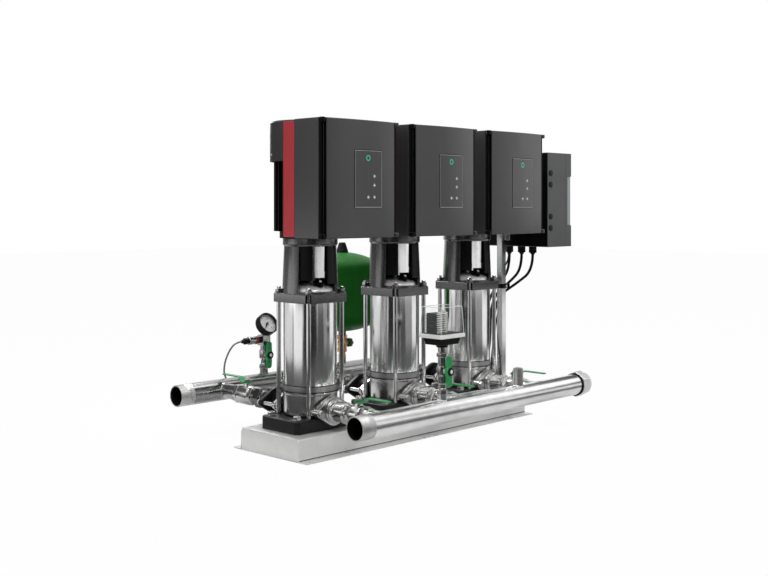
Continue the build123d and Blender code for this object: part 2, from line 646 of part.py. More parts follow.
def pump_rotor():
    """Everything that turns in one pump: shaft, impellers, coupling, motor core and fan."""
    profile = [(0, SHAFT_BOTTOM), (SHAFT_R, SHAFT_BOTTOM)]
    for low in stage_levels():
        profile += [(SHAFT_R, low), (STAGE_EYE_R - 4, low), (IMPELLER_R, low + 8),
                    (IMPELLER_R, low + IMPELLER_HEIGHT - 6), (SHAFT_R + 4, low + IMPELLER_HEIGHT),
                    (SHAFT_R, low + IMPELLER_HEIGHT)]
    coupling_low = HEAD_TOP + HEAD_COVER_HEIGHT + 8
    coupling_high = coupling_low + COUPLING_LENGTH
    fan_low = MOTOR_TOP + 20
    fan_top = fan_low + FAN_BLADE_HEIGHT
    profile += [
        (SHAFT_R, coupling_low), (COUPLING_R, coupling_low), (COUPLING_R, coupling_high),
        (MOTOR_SHAFT_R, coupling_high), (MOTOR_SHAFT_R, MOTOR_BOTTOM + 20),
        (ROTOR_CORE_R, MOTOR_BOTTOM + 20), (ROTOR_CORE_R, MOTOR_TOP - MOTOR_END_WALL - 20),
        (MOTOR_SHAFT_R, MOTOR_TOP - MOTOR_END_WALL - 20), (MOTOR_SHAFT_R, fan_low),
        (FAN_R, fan_low), (FAN_R, fan_low + 3), (MOTOR_SHAFT_R + 6, fan_low + 3),
        (MOTOR_SHAFT_R + 6, fan_top), (0, fan_top),
    ]
    rotor = turned(profile)
    blade_length = FAN_R - MOTOR_SHAFT_R - 4
    blade = Pos(MOTOR_SHAFT_R + 3 + blade_length / 2, 0, fan_low + FAN_BLADE_HEIGHT / 2) * Box(
        blade_length, 2.5, FAN_BLADE_HEIGHT)
    rotor += [Rot(0, 0, i * 360 / FAN_BLADE_COUNT) * blade for i in range(FAN_BLADE_COUNT)]
    return rotor


def drive_base():
    """Adaptor between motor and drive, hollowed round the motor and the fan cover."""
    top = DRIVE_BASE_BOTTOM + DRIVE_BASE_HEIGHT
    body = block((-DRIVE_BASE_HALF_WIDTH, -DRIVE_BASE_FRONT, DRIVE_BASE_BOTTOM),
                 (DRIVE_BASE_HALF_WIDTH, -DRIVE_BASE_BACK, top))
    body = fillet(body.edges().filter_by(Axis.Z).group_by(Axis.Y)[-1], 5)
    pocket = bar((0, 0, DRIVE_BASE_BOTTOM - 1), (0, 0, MOTOR_TOP), MOTOR_FIN_R + BODY_CLEARANCE)
    pocket += bar((0, 0, MOTOR_TOP - BODY_CLEARANCE), (0, 0, top + 1), FAN_COVER_R + BODY_CLEARANCE)
    return body - (pocket - drive_side_cut(DRIVE_BASE_BOTTOM - 2, top + 2))


def drive_front_radius():
    """Radius of the drive cover's bowed front in plan."""
    half = DRIVE_HALF_WIDTH - CORNER_GROOVE_WIDTH
    return (half**2 + DRIVE_FRONT_SAG**2) / (2 * DRIVE_FRONT_SAG)


def drive_cover():
    """Drive housing with a bowed front, grooved vertical corners and a recess for its panel."""
    back = -DRIVE_BASE_FRONT
    side_end = -(DRIVE_FRONT - DRIVE_FRONT_SAG - CORNER_GROOVE_DEPTH)
    face_end = -(DRIVE_FRONT - DRIVE_FRONT_SAG)
    half = DRIVE_HALF_WIDTH
    face_half = half - CORNER_GROOVE_WIDTH
    edges = [
        Polyline((face_half, face_end), (face_half, side_end), (half, side_end), (half, back),
                 (-half, back), (-half, side_end), (-face_half, side_end), (-face_half, face_end)),
        ThreePointArc((-face_half, face_end), (0, -DRIVE_FRONT), (face_half, face_end)),
    ]
    cover = Pos(0, 0, DRIVE_BOTTOM) * extrude(make_face(edges), DRIVE_HEIGHT)
    top = DRIVE_BOTTOM + DRIVE_HEIGHT
    for side in (-1, 1):
        for low in (DRIVE_BOTTOM, top - CORNER_SCREW_HEIGHT):
            corner = (side * (half - CORNER_SCREW_R), side_end - CORNER_SCREW_R + 1)
            cover += bar((*corner, low), (*corner, low + CORNER_SCREW_HEIGHT), CORNER_SCREW_R)
    wall = DRIVE_WALL
    cover -= block((-half + wall, side_end + wall, DRIVE_BOTTOM + wall),
                   (half - wall, back + 1, top - wall))
    cover -= block((-face_half + wall, face_end + wall, DRIVE_BOTTOM + wall),
                   (face_half - wall, back + 1, top - wall))
    return cover - panel_space(0)


def panel_space(clearance):
    """Space of the operating panel: a thin slice that follows the bowed front."""
    radius = drive_front_radius()
    centre_y = -DRIVE_FRONT + radius
    low = PANEL_BOTTOM - clearance
    high = PANEL_BOTTOM + PANEL_HEIGHT + clearance
    skin = bar((0, centre_y, low), (0, centre_y, high), radius + 0.2)
    skin -= bar((0, centre_y, low), (0, centre_y, high), radius + 0.2 - PANEL_THICKNESS)
    left = PANEL_LEFT - clearance
    right = PANEL_LEFT + PANEL_WIDTH + clearance
    return skin & block((left, -DRIVE_FRONT - 2, low), (right, -DRIVE_FRONT + 10, high))


def drive_board():
    """Drive electronics: a board on four posts with its capacitors and terminal strip."""
    back = -DRIVE_BASE_FRONT
    face = back - BOARD_STANDOFF
    low, high = DRIVE_BOTTOM + 30, DRIVE_BOTTOM + DRIVE_HEIGHT - 30
    board = block((-110, face - BOARD_THICKNESS, low), (110, face, high))
    for x in (-100, 100):
        for z in (low + 10, high - 10):
            board += bar((x, back, z), (x, face, z), 4)
    for x in (-70, -30):
        board += bar((x, face, high - 50), (x, face - 40, high - 50), 15)
    board += block((-90, face - 18, low + 10), (90, face, low + 30))
    return board


# Discharge and suction lines
def check_valve():
    """Spring-loaded check valve: flange, tapering body, seat, chamber and stem guide."""
    face = PORT_FACE
    start, end = 0, CHECK_LENGTH
    body = turned([
        (0, start), (CHECK_FLANGE_R, start), (CHECK_FLANGE_R, FLANGE_THICKNESS + 4),
        (CHECK_BODY_R, FLANGE_THICKNESS + 14), (CHECK_BODY_R, end - 8), (NECK_R + 2, end - 4),
        (NECK_R + 2, end), (0, end)], (0, -face, PORT_Z), (0, -1, 0))
    body += oval_flange(-face, -1, FLANGE_THICKNESS, FLANGE_BOLT_R + BOLT_CLEARANCE)
    seat = face + FLANGE_THICKNESS
    chamber_end = face + CHECK_LENGTH - 10
    body -= bar((0, -face + 1, PORT_Z), (0, -face - CHECK_LENGTH - 1, PORT_Z), PORT_BORE_R)
    body -= bar((0, -seat, PORT_Z), (0, -chamber_end, PORT_Z), CHECK_CHAMBER_R)
    guide_start = chamber_end - 9
    bridge = block((-4, -guide_start - 6, PORT_Z - CHECK_CHAMBER_R - 1),
                   (4, -guide_start, PORT_Z + CHECK_CHAMBER_R + 1))
    bridge += bar((0, -guide_start, PORT_Z), (0, -guide_start - 6, PORT_Z), 7)
    body += bridge
    stem_hole = POPPET_STEM_R + BEARING_CLEARANCE
    return body - bar((0, -guide_start + 1, PORT_Z), (0, -guide_start - 7, PORT_Z), stem_hole)


def check_poppet():
    """Poppet of the check valve, just off its seat, with the stem that runs in the guide."""
    seat = PORT_FACE + FLANGE_THICKNESS + 0.1
    stem_end = PORT_FACE + CHECK_LENGTH - 14 - POPPET_TRAVEL
    return turned([
        (0, 0), (POPPET_R, 0), (POPPET_R, 3), (POPPET_STEM_R + 4, 8), (POPPET_STEM_R, 10),
        (POPPET_STEM_R, stem_end - seat + 6), (0, stem_end - seat + 6)],
        (0, -seat, PORT_Z), (0, -1, 0))


def ball_valve(length):
    """Ball valve body about its stem axis: hexagon ends, round middle, ball space and stem boss."""
    half = length / 2
    body = hexagon((0, -half, 0), (0, 1, 0), VALVE_END_FLATS, VALVE_END_LENGTH)
    body += hexagon((0, half, 0), (0, -1, 0), VALVE_END_FLATS, VALVE_END_LENGTH)
    mid = half - VALVE_END_LENGTH
    body += turned([(0, -mid), (VALVE_BODY_R - 4, -mid), (VALVE_BODY_R, -mid + 5),
                    (VALVE_BODY_R, mid - 5), (VALVE_BODY_R - 4, mid), (0, mid)],
                   (0, 0, 0), (0, 1, 0))
    body += turned([(0, 0), (STEM_BOSS_R, 0), (STEM_BOSS_R, STEM_BOSS_TOP), (0, STEM_BOSS_TOP)])
    body -= bar((0, -half - 1, 0), (0, half + 1, 0), PORT_BORE_R)
    body -= Sphere(BALL_R + BODY_CLEARANCE)
    return body - bar((0, 0, 0), (0, 0, STEM_BOSS_TOP + 1), STEM_R + BEARING_CLEARANCE)


def valve_lever(direction):
    """Lever, stem and bored ball of one valve about its stem axis, open along the pipe."""
    ball = Sphere(BALL_R) - bar((0, -BALL_R - 1, 0), (0, BALL_R + 1, 0), PORT_BORE_R)
    hub_z = STEM_BOSS_TOP + 2
    stem = bar((0, 0, BALL_R - 3), (0, 0, hub_z + LEVER_THICKNESS + 7), STEM_R)
    nut = hexagon((0, 0, hub_z + LEVER_THICKNESS), (0, 0, 1), LEVER_NUT_FLATS, 5)
    t = LEVER_THICKNESS
    side = make_face(Plane.YZ * Polyline(
        (-12, hub_z), (16, hub_z), (30, hub_z + LEVER_RISE), (LEVER_LENGTH, hub_z + LEVER_RISE),
        (LEVER_LENGTH, hub_z + LEVER_RISE + t), (28, hub_z + LEVER_RISE + t), (14, hub_z + t),
        (-12, hub_z + t), close=True))
    strip = extrude(side, LEVER_ROOT_WIDTH, both=True)
    root, tip = LEVER_ROOT_WIDTH / 2, LEVER_TIP_WIDTH / 2
    plan = make_face(Polyline((-root, -8), (-root + 4, -12), (root - 4, -12), (root, -8),
                              (root, 14), (tip, 40), (tip, LEVER_LENGTH - 5),
                              (tip - 5, LEVER_LENGTH), (5 - tip, LEVER_LENGTH),
                              (-tip, LEVER_LENGTH - 5), (-tip, 40), (-root, 14), close=True))
    lever = strip & extrude(plan, hub_z + LEVER_RISE + 2 * t)
    lever -= bar((0, 0, hub_z - 1), (0, 0, hub_z + t + 1), STEM_R)
    turn = 0 if direction > 0 else 180
    return [Rot(0, 0, turn) * lever, ball + stem + nut]


def suction_flange():
    """Black cast companion flange with a tapering body between its two flanges."""
    end = SUCTION_FLANGE_LENGTH
    body = turned([(0, 0), (30, 0), (30, 8), (24, 20), (24, end), (0, end)],
                  (0, PORT_FACE, PORT_Z), (0, 1, 0))
    body += oval_flange(PORT_FACE + end, -1, FLANGE_THICKNESS + 2, FLANGE_BOLT_R + BOLT_CLEARANCE)
    return body - bar((0, PORT_FACE - 1, PORT_Z), (0, PORT_FACE + end + 1, PORT_Z), PORT_BORE_R)


def pipe_union():
    """Nipple and hexagon union between the suction flange and its valve."""
    start = PORT_FACE + SUCTION_FLANGE_LENGTH
    body = turned([
        (0, 0), (26, 0), (26, 12), (23, 16), (21, NIPPLE_LENGTH - 8), (24, NIPPLE_LENGTH - 6),
        (24, NIPPLE_LENGTH + UNION_LENGTH), (0, NIPPLE_LENGTH + UNION_LENGTH)],
        (0, start, PORT_Z), (0, 1, 0))
    body += hexagon((0, start + NIPPLE_LENGTH, PORT_Z), (0, 1, 0), UNION_FLATS, UNION_LENGTH - 14)
    end = start + NIPPLE_LENGTH + UNION_LENGTH
    return body - bar((0, start - 1, PORT_Z), (0, end + 1, PORT_Z), PORT_BORE_R)


def flange_bolts():
    """Two bolts with nuts at each port: short on the discharge side, long on the suction side."""
    pieces = []
    inner_face = PORT_FACE - FLANGE_THICKNESS
    for side in (-1, 1):
        x = side * FLANGE_BOLT_X
        for way, far in ((-1, PORT_FACE + FLANGE_THICKNESS), (1, PORT_FACE + SUCTION_FLANGE_LENGTH)):
            head = hexagon((x, way * far, PORT_Z), (0, way, 0), 16, 7)
            shank = bar((x, way * (inner_face - 10), PORT_Z), (x, way * far, PORT_Z), FLANGE_BOLT_R)
            nut = hexagon((x, way * inner_face, PORT_Z), (0, -way, 0), 16, 7)
            pieces.append(head + shank + nut)
    return pieces


def foot_bolts():
    """Hexagon bolts that hold one foot to the frame, with nuts under the sheet."""
    pieces = []
    under = FRAME_HEIGHT - FRAME_SHEET
    for x, y in foot_bolt_places():
        bolt = bar((x, y, FOOT_TOP), (x, y, FOOT_TOP + WASHER_HEIGHT), WASHER_R + 1)
        bolt += hexagon((x, y, FOOT_TOP + WASHER_HEIGHT), (0, 0, 1), NUT_FLATS, 8)
        bolt += bar((x, y, under - 14), (x, y, FOOT_TOP), FOOT_BOLT_R)
        bolt += hexagon((x, y, under), (0, 0, -1), NUT_FLATS, NUT_HEIGHT)
        pieces.append(bolt)
    return pieces


# Manifolds
def manifold(axis_y, open_end, closed_end, neck_length, toward, sockets):
    """Manifold pipe with a threaded open end, a neck to every valve and sockets on top."""
    bore = PIPE_R - PIPE_WALL
    step = open_end + THREAD_STEP_LENGTH
    pipe = bar((step, axis_y, PORT_Z), (closed_end, axis_y, PORT_Z), PIPE_R)
    pipe += bar((open_end, axis_y, PORT_Z), (step, axis_y, PORT_Z), THREAD_STEP_R)
    for x in pump_x:
        neck_end = axis_y + toward * (PIPE_R + neck_length)
        pipe += bar((x, axis_y, PORT_Z), (x, neck_end, PORT_Z), NECK_R)
    for x, radius, height in sockets:
        pipe += bar((x, axis_y, PORT_Z), (x, axis_y, PIPE_TOP + height), radius)
    pipe -= bar((open_end - 1, axis_y, PORT_Z), (closed_end + 1, axis_y, PORT_Z), bore)
    for x in pump_x:
        neck_end = axis_y + toward * (PIPE_R + neck_length + 1)
        pipe -= bar((x, axis_y, PORT_Z), (x, neck_end, PORT_Z), PORT_BORE_R)
    return pipe


def manifold_cap(axis_y, closed_end):
    """Hexagon screw cap over a manifold's closed end."""
    start = closed_end - CAP_SKIRT
    cap = hexagon((start, axis_y, PORT_Z), (1, 0, 0), CAP_FLATS, CAP_SKIRT + CAP_OVERHANG)
    rounding = turned([(0, 0), (CAP_FLATS / 2 - 1, 0), (CAP_FLATS / 2 + 5, 6),
                       (CAP_FLATS / 2 + 5, CAP_SKIRT + CAP_OVERHANG - 6),
                       (CAP_FLATS / 2 - 1, CAP_SKIRT + CAP_OVERHANG),
                       (0, CAP_SKIRT + CAP_OVERHANG)], (start, axis_y, PORT_Z), (1, 0, 0))
    cap = cap & rounding
    return cap - bar((start - 1, axis_y, PORT_Z), (closed_end, axis_y, PORT_Z), PIPE_R + 0.05)


# Instruments
def branch_cock(x, axis_y, height, handle_drop, top_block):
    """Small cock on a manifold socket: hexagon, barrel, side boss for the handle and a top."""
    low = SOCKET_TOP
    top = low + height
    body = hexagon((x, axis_y, low), (0, 0, 1), 2.2 * BRANCH_R, 12)
    body += bar((x, axis_y, low), (x, axis_y, top), BRANCH_R)
    boss_z = top - handle_drop
    body += bar((x, axis_y, boss_z), (x, axis_y - BRANCH_R - 8, boss_z), 9)
    if top_block:
        half = GAUGE_BLOCK / 2
        body += block((x - half, axis_y - half, top - GAUGE_BLOCK_HEIGHT), (x + half, axis_y + half, top))
    else:
        body += hexagon((x, axis_y, top - 24), (0, 0, 1), 2.4 * BRANCH_R, 10)
    body -= bar((x, axis_y, boss_z), (x, axis_y - BRANCH_R - 9, boss_z), 4 + BEARING_CLEARANCE)
    return body


def cock_handle(x, axis_y, z):
    """Butterfly handle with its spindle; the wings stand along the branch when it is open."""
    face_y = axis_y - BRANCH_R - 8 - 1
    tip = HANDLE_SPAN / 2 - HANDLE_TIP_R
    outline = Circle(HANDLE_HUB_R) + [Pos(0, side * tip) * Circle(HANDLE_TIP_R) for side in (-1, 1)]
    outline += Rectangle(2 * HANDLE_TIP_R, 2 * tip)
    plane = Plane(origin=(x, face_y, z), x_dir=(1, 0, 0), z_dir=(0, -1, 0))
    handle = plane * extrude(outline, HANDLE_THICKNESS)
    spindle = bar((x, axis_y - 2, z), (x, face_y, z), 4)
    hub = bar((x, face_y - HANDLE_THICKNESS, z), (x, face_y - HANDLE_THICKNESS - 5, z), 8)
    return handle + spindle + hub


def gauge_axes():
    """Centre of the gauge's back and the direction that its dial faces."""
    lean = radians(GAUGE_TILT)
    facing = Vector(0, -cos(lean), sin(lean))
    stem_top = SOCKET_TOP + GAUGE_BRANCH_HEIGHT + GAUGE_STEM
    return Vector(GAUGE_X, SUCTION_Y, stem_top), facing


def pressure_gauge():
    """Gauge case on its stem: a cup with a rim, open towards the dial."""
    back, facing = gauge_axes()
    case = turned([
        (0, 0), (GAUGE_R - 4, 0), (GAUGE_R, 5), (GAUGE_R, GAUGE_DEPTH), (GAUGE_R - GAUGE_RIM, GAUGE_DEPTH),
        (GAUGE_R - GAUGE_RIM, 14), (0, 14)], tuple(back), tuple(facing))
    low = SOCKET_TOP + GAUGE_BRANCH_HEIGHT
    stem = bar((GAUGE_X, SUCTION_Y, low), (GAUGE_X, SUCTION_Y, low + GAUGE_STEM + 8), 6)
    return case + stem - bar(tuple(back + facing * 14), tuple(back + facing * 40), GAUGE_R - GAUGE_RIM)


def gauge_dial():
    """White dial plate with a centre post."""
    back, facing = gauge_axes()
    return turned([(0, 14), (GAUGE_R - GAUGE_RIM - 0.2, 14), (GAUGE_R - GAUGE_RIM - 0.2, 15.2),
                   (1.5, 15.2), (1.5, 20), (0, 20)], tuple(back), tuple(facing))


def gauge_glass():
    """Flat glass set inside the rim."""
    back, facing = gauge_axes()
    radius = GAUGE_R - GAUGE_RIM - 0.1
    return bar(tuple(back + facing * 22.5), tuple(back + facing * 24.5), radius)


def gauge_needle():
    """Needle with its hub, turning on the dial's centre post."""
    back, facing = gauge_axes()
    plane = Plane(origin=tuple(back + facing * 17), x_dir=(1, 0, 0), z_dir=tuple(facing))
    outline = make_face(Polyline((-1.6, -8), (1.6, -8), (0.4, NEEDLE_LENGTH), (-0.4, NEEDLE_LENGTH),
                                 close=True))
    outline += Circle(4)
    outline -= Circle(1.5 + BEARING_CLEARANCE)
    return plane * (Rot(0, 0, 135) * extrude(outline, 1.2))


def pressure_transmitter():
    """Pressure transmitter screwed into the gauge block, with its cable connector."""
    start = (GAUGE_X - GAUGE_BLOCK / 2, SUCTION_Y, SOCKET_TOP + GAUGE_BRANCH_HEIGHT - 14)
    body = turned([(0, 0), (7, 0), (7, 10), (12, 12), (12, 22), (10.5, 24), (10.5, 32), (12, 34),
                   (12, 46), (0, 46)], start, (-1, 0, 0))
    plug_start = (start[0] - 46, start[1], start[2])
    plug = turned([(0, 0), (8, 0), (8, 12), (5, TRANSMITTER_LENGTH - 46), (0, TRANSMITTER_LENGTH - 46)],
                  plug_start, (-1, 0, 0))
    return [body, plug]


def pressure_switch():
    """Switch body on its cock: neck and tapered black base under the rim."""
    low = SOCKET_TOP + SWITCH_BRANCH_HEIGHT
    base = Pos(SWITCH_X, DISCHARGE_Y, low + 8) * extrude(
        Rectangle(SWITCH_BASE_LENGTH, SWITCH_BASE_WIDTH), SWITCH_BASE_HEIGHT - 8, taper=-12)
    return base + bar((SWITCH_X, DISCHARGE_Y, low), (SWITCH_X, DISCHARGE_Y, low + 9), 15)


def switch_rim():
    """White rim plate of the pressure switch, with the switch works standing on it."""
    low = SOCKET_TOP + SWITCH_BRANCH_HEIGHT + SWITCH_BASE_HEIGHT
    plate = extrude(chamfer(Rectangle(SWITCH_RIM_LENGTH, SWITCH_RIM_WIDTH).vertices(), 4),
                    SWITCH_RIM_HEIGHT)
    return Pos(SWITCH_X, DISCHARGE_Y, low) * plate


def switch_works():
    """Contact block and two adjusting springs inside the clear cover."""
    low = SOCKET_TOP + SWITCH_BRANCH_HEIGHT + SWITCH_BASE_HEIGHT + SWITCH_RIM_HEIGHT
    box = block((SWITCH_X - 34, DISCHARGE_Y - 24, low), (SWITCH_X + 2, DISCHARGE_Y + 24, low + 52))
    posts = [bar((SWITCH_X + 16, DISCHARGE_Y + y, low), (SWITCH_X + 16, DISCHARGE_Y + y, low + 54), 7)
             for y in (-15, 12)]
    return [box] + posts


def switch_cover():
    """Clear tapered cover, open below."""
    low = SOCKET_TOP + SWITCH_BRANCH_HEIGHT + SWITCH_BASE_HEIGHT + SWITCH_RIM_HEIGHT
    wall = SWITCH_COVER_WALL
    outer = extrude(Rectangle(SWITCH_COVER_LENGTH, SWITCH_COVER_WIDTH), SWITCH_COVER_HEIGHT,
                    taper=SWITCH_COVER_TAPER)
    inner = extrude(Rectangle(SWITCH_COVER_LENGTH - 2 * wall, SWITCH_COVER_WIDTH - 2 * wall),
                    SWITCH_COVER_HEIGHT - wall, taper=SWITCH_COVER_TAPER)
    return Pos(SWITCH_X, DISCHARGE_Y, low) * (outer - inner)


# Diaphragm tank
def tank_crown_radius():
    """Crown radius of a domed end whose knuckle meets the straight side and the crown smoothly."""
    reach = (TANK_R - TANK_KNUCKLE_R) ** 2 + TANK_DOME**2 - TANK_KNUCKLE_R**2
    return reach / (2 * (TANK_DOME - TANK_KNUCKLE_R))


def tank_space(inset):
    """Space inside the tank's outer surface, drawn in by an inset."""
    knuckle_r, crown_r = TANK_KNUCKLE_R - inset, tank_crown_radius() - inset
    knuckle_x = TANK_R - TANK_KNUCKLE_R
    crown_drop = tank_crown_radius() - TANK_DOME
    meeting = atan2(crown_drop, knuckle_x)

    def dome(side, way):
        def around(x, z, radius, angle):
            return (x + radius * cos(angle), side + way * (z + radius * sin(angle)))

        knuckle = [around(knuckle_x, 0, knuckle_r, angle) for angle in (0, meeting / 2, meeting)]
        crown = [around(0, -crown_drop, crown_r, angle)
                 for angle in (meeting, (meeting + pi / 2) / 2, pi / 2)]
        return [ThreePointArc(*knuckle), ThreePointArc(*crown)]

    low_side = TANK_BOTTOM + TANK_DOME
    high_side = TANK_BOTTOM + TANK_HEIGHT - TANK_DOME
    edges = dome(low_side, -1) + dome(high_side, 1)
    edges.append(Line((TANK_R - inset, low_side), (TANK_R - inset, high_side)))
    edges.append(Line((0, TANK_BOTTOM + inset), (0, TANK_BOTTOM + TANK_HEIGHT - inset)))
    return revolve(make_face([Plane.XZ * edge for edge in edges]), Axis.Z)


def diaphragm_tank():
    """Domed steel tank standing on its neck."""
    neck_low = TANK_BOTTOM - TANK_NECK_LENGTH
    shell = tank_space(0) + bar((0, 0, neck_low), (0, 0, TANK_BOTTOM + 10), TANK_NECK_R)
    shell -= tank_space(TANK_WALL)
    shell -= bar((0, 0, neck_low - 1), (0, 0, TANK_BOTTOM + 20), TANK_NECK_R - 4)
    return Pos(TANK_X, SUCTION_Y, 0) * shell


def tank_cap():
    """Black conical cap over the tank's air valve, seated on the crown."""
    apex = TANK_BOTTOM + TANK_HEIGHT
    cone = turned([(0, -TANK_CAP_SKIRT), (TANK_CAP_R, -TANK_CAP_SKIRT), (TANK_CAP_R, 1),
                   (TANK_CAP_R / 2, TANK_CAP_HEIGHT), (0, TANK_CAP_HEIGHT)], (0, 0, apex))
    crown = Pos(0, 0, apex - tank_crown_radius()) * Sphere(tank_crown_radius())
    return Pos(TANK_X, SUCTION_Y, 0) * (cone - crown)


def tank_valve():
    """Brass shut-off under the tank, with the boss that carries its knob."""
    low = SOCKET_TOP
    top = TANK_BOTTOM - TANK_NECK_LENGTH
    body = bar((TANK_X, SUCTION_Y, low), (TANK_X, SUCTION_Y, top), 12)
    body += hexagon((TANK_X, SUCTION_Y, top - TANK_VALVE_HEIGHT), (0, 0, 1), 28, 14)
    body += hexagon((TANK_X, SUCTION_Y, top - 14), (0, 0, 1), 30, 14)
    z = knob_height()
    body += bar((TANK_X, SUCTION_Y, z), (TANK_X + 20, SUCTION_Y, z), 9)
    body -= bar((TANK_X + 5, SUCTION_Y, z), (TANK_X + 21, SUCTION_Y, z), 4 + BEARING_CLEARANCE)
    return body


def knob_height():
    """Height of the tank valve's knob."""
    return TANK_BOTTOM - TANK_NECK_LENGTH - TANK_VALVE_HEIGHT / 2


def tank_valve_knob():
    """Fluted knob of the tank valve, on its spindle."""
    z = knob_height()
    grip = Circle(KNOB_R) - [Rot(0, 0, i * 60) * Pos(KNOB_R + 1.5, 0) * Circle(4) for i in range(6)]
    knob = Plane(origin=(TANK_X + 20 + BODY_CLEARANCE, SUCTION_Y, z), z_dir=(1, 0, 0)) * extrude(
        grip, KNOB_LENGTH)
    return knob + bar((TANK_X + 7, SUCTION_Y, z), (TANK_X + 22, SUCTION_Y, z), 4)


# Post and control cabinet
def cabinet_post():
    """Square post on the frame's end, with two brackets that carry the cabinet."""
    half = POST_SIDE / 2
    post = block((POST_X - half, POST_Y - half, POST_BASE), (POST_X + half, POST_Y + half, POST_TOP))
    for z in (CABINET_BOTTOM + 20, CABINET_TOP - 60):
        post += block((POST_X + half - 1, POST_Y - 25, z), (CABINET_LEFT, POST_Y + 25, z + 25))
    wall = 2.5
    post -= block((POST_X - half + wall, POST_Y - half + wall, POST_BASE - 1),
                  (POST_X + half - wall, POST_Y + half - wall, POST_TOP - wall))
    return post


def cabinet_body():
    """Control cabinet: a box open towards its door, with hinge knuckles at the back edge."""
    wall = CABINET_WALL
    body = block((CABINET_LEFT, CABINET_FRONT, CABINET_BOTTOM), (CABINET_RIGHT, CABINET_BACK, CABINET_TOP))
    body -= block((CABINET_LEFT + wall, CABINET_FRONT + wall, CABINET_BOTTOM + wall),
                  (CABINET_RIGHT + 1, CABINET_BACK - wall, CABINET_TOP - wall))
    for x, y in gland_places():
        body -= bar((x, y, CABINET_BOTTOM - 1), (x, y, CABINET_BOTTOM + wall + 1), 9)
    for x, z in plug_places():
        body -= bar((x, CABINET_FRONT - 1, z), (x, CABINET_FRONT + wall + 1, z), PLUG_R - 2)
    for low in hinge_levels():
        body += hinge_knuckle(low, CABINET_RIGHT - 10, CABINET_RIGHT)
        hinge_x, hinge_y = hinge_axis()
        body += bar((hinge_x, hinge_y, low), (hinge_x, hinge_y, low + 2 * HINGE_LENGTH), HINGE_PIN_R)
    return body


def hinge_axis():
    """Plan position of the door's hinge axis."""
    return CABINET_RIGHT + DOOR_GAP / 2, CABINET_BACK + HINGE_R


def hinge_levels():
    """Lower end of each hinge."""
    return [CABINET_BOTTOM + 35, CABINET_TOP - 35 - 2 * HINGE_LENGTH]


def hinge_knuckle(low, leaf_start, leaf_end):
    """Barrel of one hinge half with the leaf that ties it to the back edge."""
    hinge_x, hinge_y = hinge_axis()
    barrel = bar((hinge_x, hinge_y, low), (hinge_x, hinge_y, low + HINGE_LENGTH), HINGE_R)
    leaf_low, leaf_high = sorted((leaf_start, leaf_end))
    leaf = block((leaf_low, CABINET_BACK - 0.5, low), (leaf_high, CABINET_BACK + 2, low + HINGE_LENGTH))
    return barrel + leaf


def cabinet_door():
    """Door: a shallow pan with a display recess across its face and its hinge barrels."""
    left = CABINET_RIGHT + DOOR_GAP
    wall = CABINET_WALL
    door = block((left, CABINET_FRONT, CABINET_BOTTOM), (DOOR_RIGHT, CABINET_BACK, CABINET_TOP))
    door -= block((left - 1, CABINET_FRONT + wall, CABINET_BOTTOM + wall),
                  (DOOR_RIGHT - DISPLAY_RECESS - wall, CABINET_BACK - wall, CABINET_TOP - wall))
    door -= block((DOOR_RIGHT - DISPLAY_RECESS, CABINET_FRONT - 1, DISPLAY_BOTTOM),
                  (DOOR_RIGHT + 1, CABINET_BACK + 1, DISPLAY_BOTTOM + DISPLAY_HEIGHT))
    hinge_x, hinge_y = hinge_axis()
    for low in hinge_levels():
        barrel_low = low + HINGE_LENGTH + DOOR_GAP
        knuckle = hinge_knuckle(barrel_low, left, left + 10)
        knuckle -= bar((hinge_x, hinge_y, barrel_low - 1), (hinge_x, hinge_y, barrel_low + 40),
                       HINGE_PIN_R + BEARING_CLEARANCE)
        knuckle -= block((CABINET_RIGHT - 20, CABINET_BACK - 1, barrel_low - 1),
                         (CABINET_RIGHT + DOOR_GAP, CABINET_BACK + 0.3, barrel_low + 40))
        door += knuckle
    latch_y, latch_z = latch_place()
    return door - bar((DOOR_RIGHT - 20, latch_y, latch_z), (DOOR_RIGHT + 1, latch_y, latch_z),
                      5 + BEARING_CLEARANCE)


def latch_place():
    """Door latch, across and up."""
    return CABINET_FRONT + LATCH_INSET, CABINET_BOTTOM + LATCH_RISE


def cabinet_latch():
    """Quarter-turn latch: knob, spindle through the door and the cam behind it."""
    y, z = latch_place()
    inside = DOOR_RIGHT - DISPLAY_RECESS - CABINET_WALL
    knob = bar((DOOR_RIGHT + BODY_CLEARANCE, y, z), (DOOR_RIGHT + 5, y, z), LATCH_R)
    knob += block((DOOR_RIGHT + 4, y - 2, z - 8), (DOOR_RIGHT + 8, y + 2, z + 8))
    knob += bar((inside - 5, y, z), (DOOR_RIGHT + 1, y, z), 5)
    knob += block((inside - 5, y - 5, z - 5), (inside - 2, y + 5, z + LATCH_CAM))
    return knob


def controller_panel():
    """Display panel in the door's recess."""
    return block((DOOR_RIGHT - DISPLAY_RECESS, CABINET_FRONT + 6, DISPLAY_BOTTOM + 3),
                 (DOOR_RIGHT - 1.5, CABINET_BACK - 6, DISPLAY_BOTTOM + DISPLAY_HEIGHT - 3))


def plug_places():
    """Blind plugs in the cabinet's front side, across and up."""
    x = CABINET_LEFT + 14
    return [(x, CABINET_BOTTOM + rise) for rise in (59, 94, 192, 227)]


def gland_places():
    """Cable glands under the cabinet: three for power and one for signals."""
    power = [(CABINET_LEFT + 30, y) for y in (-84, -41, 7)]
    return power + [(CABINET_LEFT + 9, POST_Y + 9)]


